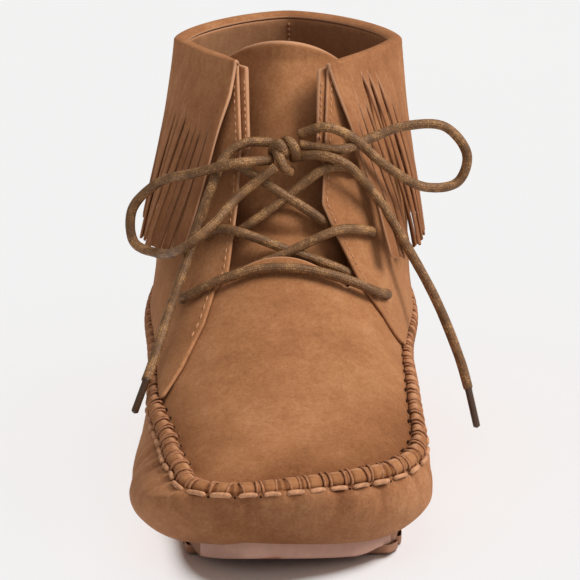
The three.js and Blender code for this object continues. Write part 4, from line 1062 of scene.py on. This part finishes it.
# ---------------------------------------------------------------- tongue
def build_tongue():
    rows, columns = 84, 46
    t = np.linspace(0, 1, rows + 1)[:, None]
    share = np.linspace(-1, 1, columns + 1)[None, :]
    z = TONGUE_FOOT + (TONGUE_TOP - 1.3 - TONGUE_CROWN * share * share - TONGUE_FOOT) * t
    on_form = np.minimum(z, COLLAR_HEIGHT)
    middle = SHAFT.value("middle", on_form / COLLAR_HEIGHT)
    x = 0.5 * share * TONGUE_WIDTH * (1 - 0.06 * smooth(t, 0.6, 1)) - 1.6 * smooth(t, 0.6, 1)
    nosed = np.sqrt(x * x + TONGUE_NOSE**2 * smooth(t, 0, 0.5))
    nosed = np.maximum(nosed, 0.62 * TONGUE_NOSE * smooth(t, 0.2, 0.9))
    left, right = on_front(middle - nosed, on_form), on_front(middle + nosed, on_form)
    blend = smooth(x, -9, 9)[..., None]
    skin = left * (1 - blend) + right * blend
    steep = (1 - blend[..., 0]) * np.maximum(-normal_at(left)[..., 1], 0.45)
    steep = steep + blend[..., 0] * np.maximum(-normal_at(right)[..., 1], 0.45)
    setting = UPPER_WALL + 4 * GAP + (LACE_DIAMETER + 2 * GAP) * smooth(t, -0.04, 0.1)
    y = skin[..., 1] + (setting + 0.5 * TONGUE_THICKNESS) / steep
    # The tongue swells between the crossings of the lace and lies slack above them
    for height, across, tall, wide, out in (
        (90.5, 1, 4.2, 13, 5.0),
        (79.0, 1, 3.6, 15, 3.4),
        (99.0, 1, 3.0, 13, -1.0),
        (118, -3, 13, 12, 0.9),
    ):
        y = y - out * np.exp(-(((z - height) / tall) ** 2) - ((x - across) / wide) ** 2)
    y = y + 0.25 * np.sin(z / 5.5 + x / 9)
    grid = np.stack([middle + x, y, z], axis=-1)
    du, dv = np.gradient(grid, axis=1), np.gradient(grid, axis=0)
    normals = unit(np.cross(du, dv)).reshape(-1, 3)
    corner = (np.arange(rows)[:, None] * (columns + 1) + np.arange(columns)).ravel()
    faces = [[a, a + 1, a + columns + 2, a + columns + 1] for a in corner.tolist()]
    sheet = Sheet(grid.reshape(-1, 3), normals, faces)
    if normals[:, 1].mean() > 0:
        sheet.normals = -normals
        sheet.faces = [f[::-1] for f in faces]
    half = 0.5 * TONGUE_THICKNESS
    points, faces, kinds, source, edge = thick(sheet, -half, half)
    make_object("tongue_suede", points, faces, [SUEDE, LINING_PAINTED_LIGHTER], kinds == 1, {"edge": edge}, "suede", ["tongue"])


# ---------------------------------------------------------------- fringed cuff
STRIPS = 52
STRIP_COLUMNS = 4
FOLD_ROWS = 12
BAND_ROWS = 22
TAIL_ROWS = 16
LIP_WALL = 0.8
STAND_OFF = 1.8
EDGE_REACH = 6.5
EDGE_PRESS = 0.62
SLIT_TAPER = 7.0
BAND_FOOT = 100.0


def build_cuff():
    slit_top = COLLAR_HEIGHT - SLIT_START
    at = slit_top / COLLAR_HEIGHT
    centre = np.array([float(SHAFT.value("middle", at)), float(SHAFT.value("widest", at)), 0.0])

    def angles(z):
        found = []
        for side in ("inner", "outer"):
            p = on_front(edge_at(CUFF_EDGE, z, side), z)
            found.append(np.arctan2(p[..., 0] - centre[0], centre[1] - p[..., 1]))
        return found

    def skin_at(z, share):
        z, share = np.broadcast_arrays(np.asarray(z, float), np.asarray(share, float))
        first, last = angles(z)
        angle = first + (last - first - 2 * np.pi) * share
        direction = np.stack([np.sin(angle), -np.cos(angle), np.zeros_like(angle)], axis=-1)
        start = np.stack([np.full(z.shape, centre[0]), np.full(z.shape, centre[1]), z], axis=-1)
        return surface_from(start, direction)

    shares = np.linspace(0, 1, 301)
    run = lengths_of(skin_at(np.full(301, slit_top), shares))
    girth = run[-1]
    rng = np.random.default_rng(23)
    widths = rng.uniform(0.72, 1.3, STRIPS)
    borders = np.concatenate([[0], np.cumsum(widths)]) / widths.sum() * girth
    # Near the front edge of the outer side the strips stand wide apart; on the inner side they hang closer
    outer_near = np.exp(-((((girth - borders) - 17.0) / 13.0) ** 2))
    inner_near = np.exp(-(((borders - 18.0) / 16.0) ** 2))
    gaps = rng.uniform(0.7, 1.6, STRIPS + 1)
    gaps = gaps + (3.2 * outer_near + 1.7 * inner_near) * rng.uniform(0.2, 1.0, STRIPS + 1)
    slits = slit_top + rng.uniform(-6, 2.0, STRIPS + 1) - 3 * inner_near + 8.0 * outer_near
    ends = FRINGE_END + rng.uniform(0.0, 4.2, STRIPS)
    lean = wavering(STRIPS, 16, 41, -1.2, 1.2)(np.arange(STRIPS))
    stand = rng.uniform(-0.3, 1.3, STRIPS)
    twist = rng.uniform(-1.1, 1.1, STRIPS)
    curl = rng.uniform(-0.5, 0.6, STRIPS)
    cut = rng.uniform(-1.6, 1.6, STRIPS)

    # Rows of the sheet's middle, as height, growth and turn: lip inside, fold over the collar, band
    rows = []
    inside, outside = -UPPER_WALL + 0.3 * LIP_WALL, 0.5 * (CUFF_IN + CUFF_OUT)
    lift = 0.7 * (CUFF_FOLD - 0.5 * CUFF_WALL)
    for k in range(FOLD_ROWS):
        a = math.pi * (1 - k / FOLD_ROWS)
        slope = 1 - 0.7 * float(smooth(a, 0.35 * math.pi, 0.95 * math.pi))
        across = 0.5 * (inside + outside) + 0.5 * (outside - inside) * math.cos(a)
        rows.append((COLLAR_HEIGHT + GAP + lift * slope * math.sin(a) ** 0.5, across, a))
    rows += [(z, outside, 0.0) for z in np.linspace(COLLAR_HEIGHT, BAND_FOOT, BAND_ROWS)]

    def opened(n, z):
        """Half the slit between two strips at a height."""
        return np.clip((slits[n] - z) / SLIT_TAPER, 0, 1) ** 0.8 * 0.5 * gaps[n]

    ids = np.zeros((STRIPS, len(rows) + TAIL_ROWS, STRIP_COLUMNS + 1), int)
    made = []
    for k, r, c in np.ndindex(ids.shape):
        u = c / STRIP_COLUMNS
        z, growth, angle = rows[min(r, len(rows) - 1)]
        if r >= len(rows):
            z = BAND_FOOT + (ends[k] + cut[k] * (u - 0.5) - BAND_FOOT) * ((r - len(rows) + 1) / TAIL_ROWS)
        if c == 0 and k > 0 and z > slits[k]:
            ids[k, r, c] = ids[k - 1, r, STRIP_COLUMNS]
            continue
        ids[k, r, c] = len(made)
        left = borders[k] + (opened(k, z) if k > 0 else 0)
        right = borders[k + 1] - (opened(k + 1, z) if k < STRIPS - 1 else 0)
        free = np.clip((slit_top - z) / (slit_top - FRINGE_END), 0, 1.1)
        place = left + (right - left) * u + lean[k] * free**2
        bend = free**1.5 * (stand[k] + twist[k] * (u - 0.5)) + curl[k] * free * (2 * u - 1) ** 2
        # The fold is pressed narrow at the front edges, and the edges stand off the quarters below it
        near = math.exp(-((min(place, girth - place) / EDGE_REACH) ** 2))
        off = STAND_OFF * near * float(smooth(COLLAR_HEIGHT - z, 2, 24))
        if angle > 0:
            growth += near * EDGE_PRESS * (outside - growth)
            z, bend = z + near * max(COLLAR_HEIGHT + GAP - z, 0), 0.0
        lip = {0: 1.0, 1: 0.5}.get(r, 0.0)
        share = np.interp(np.clip(place, 0, girth), run, shares)
        made.append((z, share, growth + off + bend, angle, free, k, lip, near))
    z, share, growth, turn, free, strip, lip, near = np.array(made).T
    p = skin_at(np.minimum(z, COLLAR_HEIGHT - 0.01), share)
    n = normal_at(p)
    drop = np.clip((COLLAR_HEIGHT - z) / (COLLAR_HEIGHT - FRINGE_END), 0, 1.3)
    points = p + n * (growth + FRINGE_FLARE * drop**1.4)[:, None]
    points[:, 2] = np.where(z > COLLAR_HEIGHT - 0.01, z, points[:, 2])
    flat, up, turned = unit(n * np.array([1.0, 1.0, 0.0])), np.array([0, 0, 1.0]), turn[:, None]
    normals = unit(np.where(turned > 0, flat * np.cos(turned) + up * np.sin(turned), n))
    corners_of = (ids[:, :-1, :-1], ids[:, :-1, 1:], ids[:, 1:, 1:], ids[:, 1:, :-1])
    faces = np.stack(corners_of, axis=-1).reshape(-1, 4).tolist()
    f = faces[FOLD_ROWS * STRIP_COLUMNS + 8]
    if np.cross(points[f[1]] - points[f[0]], points[f[2]] - points[f[0]]) @ normals[f[0]] < 0:
        faces = [q[::-1] for q in faces]
    half = 0.5 * CUFF_WALL * (1 - 0.35 * np.clip(free * 4, 0, 1))
    half *= 1 - (1 - LIP_WALL / CUFF_WALL) * smooth(turn, 0.5 * math.pi, math.pi)
    body, skin, kinds, source, edge = thick(Sheet(points, normals, faces), -half, half)
    # The strips' tone varies at random from strip to strip and darkens down their length
    tone = np.random.default_rng(5).uniform(0.0, 0.2, STRIPS)[strip.astype(int)] * np.clip(free * 3, 0, 1)
    shade = (tone + 0.14 * np.clip(free * 1.6 - 0.5, 0, 1))[source]
    # Cut edges: pale along the front and round the fold; in the narrow slits their paleness gives way to painted
    # shade
    edge_out_of_shade = (1 - 0.7 * np.clip(free * 5, 0, 1) * (1 - near))[source]
    edge = np.maximum(edge * edge_out_of_shade, lip[source])
    values = {"edge": edge, "shade": shade + 0.5 * edge * (1 - edge_out_of_shade)}
    make_object("fringe_cuff_suede", body, skin, [CUFF, FLESH], kinds == 1, values, "suede", ["fringe_cuff"])


# ---------------------------------------------------------------- lace
LACE_RADIUS = 0.5 * LACE_DIAMETER
ON_QUARTER = QUARTER_OUT + 2 * GAP + LACE_RADIUS
ON_PLUG = 3 * GAP + LACE_RADIUS
UNDER_UPPER = -UPPER_WALL - GAP - LACE_RADIUS
IN_HOLE = -0.4 * UPPER_WALL
LACE_SIDES = 16


def lace_body(path, seed, radius=LACE_RADIUS):
    """Round lace whose section starts at the boot's back, with its places along and round it."""
    run = lengths_of(path)
    along = unit(np.gradient(path, axis=0))
    back = np.zeros_like(path)
    last = np.array([0.0, 1.0, 0.0])
    for i, t in enumerate(along):
        aim = np.array([0.0, 1.0, 0.0]) - t * t[1]
        if np.linalg.norm(aim) < 0.35:
            aim = last - t * (last @ t)
        back[i] = last = unit(aim)
    side = np.cross(along, back)
    radii = radius * (1 + 0.025 * wavering(run[-1], max(int(run[-1] / 3), 3), seed)(run))
    share = np.arange(LACE_SIDES) / LACE_SIDES
    angles = 2 * np.pi * share[None, :, None]
    section = np.cos(angles) * back[:, None] + np.sin(angles) * side[:, None]
    points, faces = capped(path[:, None] + radii[:, None, None] * section)
    return points, faces, {"run": np.repeat(run, LACE_SIDES), "turn": np.tile(share, len(path))}


def lace_object(name, strands):
    """One object of the lace from strands of (path, seed) or (path, seed, radius)."""
    pile = Pile()
    for strand in strands:
        points, faces, values = lace_body(*strand)
        pile.add(points, faces, **values)
    return pile.object(name + "_cord", [LACE], slot="lace", replaces=[name])


def spaced(points, step=0.8):
    path = catmull(points, 400)
    return even(path, max(int(lengths_of(path)[-1] / step), 8))


def build_bar():
    height, inner, outer = LACE_HOLES[0]
    top = THROAT_FLOOR + THROAT_ARCH + 0.018 * COLLAR_HEIGHT

    def side(x):
        rows = []
        for across, share, growth in (
            (1, 0, IN_HOLE),
            (0.95, 0.02, ON_QUARTER - 0.5),
            (0.84, 0.16, ON_QUARTER),
            (0.66, 0.44, ON_QUARTER),
            (0.45, 0.7, ON_QUARTER - 0.6),
            (0.16, 0.92, ON_PLUG),
        ):
            z = height * COLLAR_HEIGHT * (1 - share) + top * share
            rows.append(on_front(x * across, z, growth))
        return rows

    path = spaced(side(-inner * BALL_WIDTH) + side(outer * BALL_WIDTH)[::-1])
    lace_object("lace_bar", [(path, 2)])


def crossing(hole, side, landing, bow):
    """From a lace hole over the facing's edge and down across the throat, to under the other facing."""
    height = hole[0]
    inner = side == "inner"
    other, inwards = ("outer", 1) if inner else ("inner", -1)

    def edge(h, s):
        return edge_at(FACING, h * COLLAR_HEIGHT, s)

    def place(x, h, growth):
        return on_front(x, h * COLLAR_HEIGHT, growth)

    hole_x = (-hole[1] if inner else hole[2]) * BALL_WIDTH
    start_height = height + 0.02
    start = place(edge(start_height, side), start_height, ON_QUARTER - 0.4)
    end = place(edge(landing, other), landing, 0.5 * UNDER_UPPER)
    route = [
        place(hole_x, height, IN_HOLE),
        place(hole_x + 1.2 * inwards, height, ON_QUARTER - 0.5),
        place(0.55 * hole_x + 0.45 * edge(start_height, side), height + 0.012, ON_QUARTER),
        start,
        0.5 * (start + end) + np.array([0, -bow, 0.5 * bow]),
        end,
        place(edge(landing, other) + 3 * inwards, landing - 0.012, UNDER_UPPER),
    ]
    return spaced(route)


def build_crossings():
    for name, hole, inner_landing, outer_landing in (
        ("lace_cross_lower", LACE_HOLES[1], 0.54, 0.54),
        ("lace_cross_upper", LACE_HOLES[2], 0.655, 0.63),
    ):
        from_inner = crossing(hole, "inner", inner_landing, 1.5)
        from_outer = crossing(hole, "outer", outer_landing, 0)
        lace_object(name, [(from_inner, 3), (from_outer, 4)])


def placed(rows):
    return np.array(rows) * np.array([BALL_WIDTH, BOOT_LENGTH, COLLAR_HEIGHT])


LOOP_LATERAL = [
    (0.061, 0.028, 0.852),
    (0.151, 0.016, 0.875),
    (0.245, 0.02, 0.848),
    (0.36, 0.032, 0.772),
    (0.504, 0.056, 0.705),
    (0.62, 0.072, 0.711),
    (0.652, 0.076, 0.778),
    (0.573, 0.072, 0.852),
    (0.432, 0.06, 0.859),
    (0.309, 0.044, 0.835),
    (0.204, 0.01, 0.821),
    (0.064, 0.02, 0.829),
]
LOOP_MEDIAL = [
    (-0.033, 0.008, 0.795),
    (-0.161, -0.018, 0.798),
    (-0.3, 0.004, 0.764),
    (-0.432, 0.044, 0.721),
    (-0.525, 0.056, 0.646),
    (-0.518, 0.04, 0.571),
    (-0.432, 0.014, 0.555),
    (-0.324, -0.066, 0.612),
    (-0.237, -0.056, 0.66),
    (-0.15, -0.024, 0.716),
    (-0.02, -0.01, 0.785),
]
END_LATERAL = [
    (0.061, 0.016, 0.8),
    (0.141, 0, 0.81),
    (0.223, -0.004, 0.79),
    (0.326, 0.016, 0.703),
    (0.432, 0.02, 0.578),
    (0.542, 0.012, 0.435),
    (0.628, 0.004, 0.284),
    (0.657, 0, 0.213),
]
END_MEDIAL = [
    (-0.033, 0.028, 0.832),
    (-0.127, 0.02, 0.833),
    (-0.193, 0.012, 0.803),
    (-0.242, -0.012, 0.734),
    (-0.291, -0.026, 0.638),
    (-0.339, -0.068, 0.547),
    (-0.389, -0.1, 0.455),
    (-0.434, -0.152, 0.371),
    (-0.459, -0.184, 0.332),
]
TIP_LATERAL = (0.69, -0.004, 0.111)
TIP_MEDIAL = (-0.5, -0.2, 0.258)
KNOT_STRANDS = [
    [
        (-0.03, 0.026, 0.806), (-0.026, 0.012, 0.826), (-0.01, 0.004, 0.838),
        (0.006, 0.002, 0.824), (0.012, 0.01, 0.804),
    ],
    [
        (0.01, 0.03, 0.832), (0.026, 0.01, 0.842), (0.043, 0.004, 0.83),
        (0.05, 0.008, 0.808), (0.042, 0.026, 0.794),
    ],
    [
        (-0.02, 0.016, 0.822), (-0.01, 0.0, 0.81), (0.006, -0.006, 0.788),
        (0.024, 0.0, 0.768), (0.03, 0.014, 0.764),
    ],
]


def build_bow():
    lace_object(
        "lace_knot",
        [(spaced(placed(rows), 0.5), 50 + k, 1.08 * LACE_RADIUS) for k, rows in enumerate(KNOT_STRANDS)],
    )
    for name, rows, seed in (("lace_loop_left", LOOP_LATERAL, 60), ("lace_loop_right", LOOP_MEDIAL, 61)):
        path = spaced(placed(rows))
        loop = lace_object(name, [(path, seed)])
    for side, rows, tip, seed in (
        ("left", END_LATERAL, TIP_LATERAL, 62),
        ("right", END_MEDIAL, TIP_MEDIAL, 63),
    ):
        path = spaced(placed(rows))
        end = lace_object("lace_end_" + side, [(path, seed)])
        last, far = placed([rows[-1], tip])
        way = even(np.array([last - unit(far - last) * 0.8, far]), 26)
        radius = rounded_ends(way, 0.5 * AGLET_DIAMETER, 0.8)
        radius[:3] = 0.5 * AGLET_DIAMETER * 1.08
        body, faces = tube_mesh(way, radius, 20)
        name = "aglet_" + side
        aglet = make_object(name + "_tip", body, faces, [AGLET], slot="aglet", replaces=[name])


# ---------------------------------------------------------------- sole
PLATE_FILL = (0.75, 0.5, 0.25, 0.0001)
OUTLINE_PASSES = 24
LUG_THIRDS = ((0.0, 0.32), (0.36, 0.64), (0.68, 1.0))
BUMPER_MIDDLE = 5.0
BUMPER_HALF = 31.5
INSOLE_THICKNESS = 2.4
INSOLE_INSET = 14.0


def outline_rows(inset, count=110):
    """Half-outline stations of the sole: y, left x, right x."""
    y = -0.5 * (BOOT_LENGTH - 2 * inset) * np.cos(np.linspace(0, np.pi, count + 1))
    half, middle = plan(y * (BOOT_LENGTH / (BOOT_LENGTH - 2 * inset)))
    held = smooth(half, 0, 2 * inset)
    outer = np.maximum(half - inset * held, 0.4)
    tuck = INNER_TUCK * (1 - smooth(y, -0.36 * BOOT_LENGTH, -0.1 * BOOT_LENGTH))
    return y, middle - np.maximum(outer - tuck * held, 0.4), middle + outer


def closed_loop(y, left, right, count):
    """count points spaced evenly round the outline between two sides."""
    loop = np.vstack([np.stack([left, y], axis=1), np.stack([right, y], axis=1)[::-1]])
    return even(np.pad(np.vstack([loop, loop[:1]]), ((0, 0), (0, 1))), count + 1)[:-1, :2]


def outline(inset):
    flat = closed_loop(*outline_rows(inset), 360)
    for _ in range(OUTLINE_PASSES):
        flat = 0.5 * flat + 0.25 * (np.roll(flat, 1, axis=0) + np.roll(flat, -1, axis=0))
    return flat


def lofted(levels):
    """Points and outward faces through (outline, height function) levels from the bottom up."""
    points = np.vstack([np.hstack([line, height(line[:, 1])[:, None]]) for line, height in levels])
    faces = ring_faces(len(levels), len(levels[0][0]))
    f = min(faces, key=lambda f: points[f][:, 2].mean())
    a, b, c = points[f[:3]]
    return points, faces if np.cross(b - a, c - a)[2] < 0 else [q[::-1] for q in faces]


def shrunk(loop, share):
    centre = loop.mean(axis=0)
    return centre + (loop - centre) * share


def solid_plate(levels):
    """Closed plate through such levels: its first and last are filled by narrower copies."""

    def narrowed(level, share):
        line, height = level
        middle = line[:, 0].mean()
        return np.stack([(line[:, 0] - middle) * share + middle, line[:, 1]], axis=1), height

    below = [narrowed(levels[0], share) for share in reversed(PLATE_FILL)]
    return lofted(below + levels + [narrowed(levels[-1], share) for share in PLATE_FILL])


def build_sole():
    def groove_top(y):
        return tread_height(y) + 0.4 + (LUG_DEPTH - 0.4) * smooth(y, FRONT + 25, FRONT + 33)

    def brim(y):
        return sole_top(y) + SOLE_CUP

    levels = [
        (outline(SOLE_INSET + inset), height)
        for inset, height in (
            (0.6, groove_top),
            (0.1, lambda y: groove_top(y) + 0.25),
            (0.0, lambda y: groove_top(y) + 0.8),
            (0.0, lambda y: 0.5 * (groove_top(y) + brim(y))),
            (0.05, lambda y: brim(y) - 0.5),
            (0.35, lambda y: brim(y) - 0.1),
            (1.0, lambda y: brim(y) - 0.1),
            (3.0, lambda y: sole_top(y) - 0.6),
        )
    ]
    pile = Pile()
    points, faces = solid_plate(levels)
    # The pale bumper of the toe ends where the sides of the sole turn brown; that brown is partly painted shade
    middles = np.array([points[f].mean(axis=0) for f in faces])
    beside = (np.abs(middles[:, 0] - BUMPER_MIDDLE) > BUMPER_HALF) | (middles[:, 1] > 0.7 * FRONT)
    order = np.argsort(beside, kind="stable")
    pile.add(points, [faces[i] for i in order], beside[order].astype(int))
    count = int((BOOT_LENGTH - 4 * SOLE_INSET) // LUG_PITCH)
    grooves = [(i - 0.5 * (count - 1)) * LUG_PITCH for i in range(count)]
    stations = outline_rows(SOLE_INSET - LUG_PROUD, 400)
    starts = [g + 0.5 * LUG_GROOVE for g in grooves]
    stops = [g - 0.5 * LUG_GROOVE for g in grooves[1:]] + [stations[0][-1] - 0.2]
    for start, stop in zip(starts, stops):
        ys = np.linspace(start, stop, 9)
        left, right = (np.interp(ys, stations[0], side) for side in stations[1:])
        for low, high in LUG_THIRDS:
            a, b = left + (right - left) * low, left + (right - left) * high
            if (b - a).max() < 2:
                continue
            loop = closed_loop(ys, a, b, 40)
            size = max((b - a).max(), stop - start)
            foot = shrunk(loop, 1 - 0.9 / size)
            levels = [
                (shrunk(foot, 0.02), tread_height),
                (foot, tread_height),
                (shrunk(loop, 1 - 0.25 / size), lambda y: tread_height(y) + 0.25),
                (loop, lambda y: tread_height(y) + 0.7),
                (loop, lambda y: tread_height(y) + LUG_DEPTH + 0.6),
            ]
            pile.add(*lofted(levels), 1)
    pile.object("outsole_gum", [SOLE, TREAD_BROWN_AND_SHADE], slot="sole", replaces=["outsole"])


def build_insole():
    def low(y):
        return sole_top(y) + UPPER_WALL + GAP

    levels = [
        (outline(INSOLE_INSET + 0.4), low),
        (outline(INSOLE_INSET), lambda y: low(y) + 0.5),
        (outline(INSOLE_INSET), lambda y: low(y) + INSOLE_THICKNESS - 0.6),
        (outline(INSOLE_INSET + 0.6), lambda y: low(y) + INSOLE_THICKNESS),
    ]
    make_object("insole_sock", *solid_plate(levels), [SOCK], slot="insole", replaces=["insole"])


build_bar()
build_crossings()
build_bow()
build_upper()
build_quarters()
build_stitches()
build_seam()
build_tongue()
build_cuff()
build_sole()
build_insole()


# ---------------------------------------------------------------- floor and light
FLOOR_HALF = 12.0


def build_floor():
    nodes = Nodes("floor")
    colour = nodes.ramp(nodes.noise(2.0, 2.0, 0.5), (0.0, (0.84, 0.84, 0.845)), (1.0, (0.86, 0.86, 0.865)))
    mesh = bpy.data.meshes.new("floor")
    square = [(x * FLOOR_HALF, y * FLOOR_HALF, 0) for x, y in ((-1, -1), (1, -1), (1, 1), (-1, 1))]
    mesh.from_pydata(square, [], [(0, 1, 2, 3)])
    mesh.materials.append(nodes.finished(colour, 0.9, 0.0))
    floor = bpy.data.objects.new("floor", mesh)
    bpy.context.scene.collection.objects.link(floor)
    floor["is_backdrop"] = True


def sun(name, azimuth, elevation, strength, angle, lit, colour=(1, 1, 1), blockers=None):
    data = bpy.data.lights.new(name, "SUN")
    data.energy, data.angle, data.color = strength, math.radians(angle), colour
    light = bpy.data.objects.new(name, data)
    a, e = math.radians(azimuth), math.radians(elevation)
    back = Vector((math.sin(a) * math.cos(e), -math.cos(a) * math.cos(e), math.sin(e)))
    light.rotation_mode = "QUATERNION"
    light.rotation_quaternion = back.to_track_quat("Z", "Y")
    bpy.context.scene.collection.objects.link(light)
    light.light_linking.receiver_collection = lit
    if blockers:
        light.light_linking.blocker_collection = blockers


def gathered(name, objects):
    collection = bpy.data.collections.new(name)
    for obj in objects:
        collection.objects.link(obj)
    return collection


def build_light():
    world = bpy.data.worlds.new("studio")
    bpy.context.scene.world = world
    world.use_nodes = True
    background = world.node_tree.nodes["Background"]
    background.inputs["Color"].default_value = (1.0, 0.95, 0.9, 1.0)
    background.inputs["Strength"].default_value = 0.28
    boot = gathered("boot_lit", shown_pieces())
    floor = gathered("floor_lit", [bpy.data.objects["floor"]])
    sole = gathered("sole_shadow", [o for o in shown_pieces() if o.name.startswith("outsole")])
    sun("key", 72, 46, 3.05, 32, boot, (1.0, 0.985, 0.96))
    sun("above", -20, 76, 0.75, 60, boot)
    sun("over_floor", 152, 40, 3.86, 34, floor, (0.98, 0.992, 1.0), blockers=sole)
    bpy.context.scene.view_settings.view_transform = "Standard"
    bpy.context.scene.view_settings.look = "None"


build_floor()
build_light()
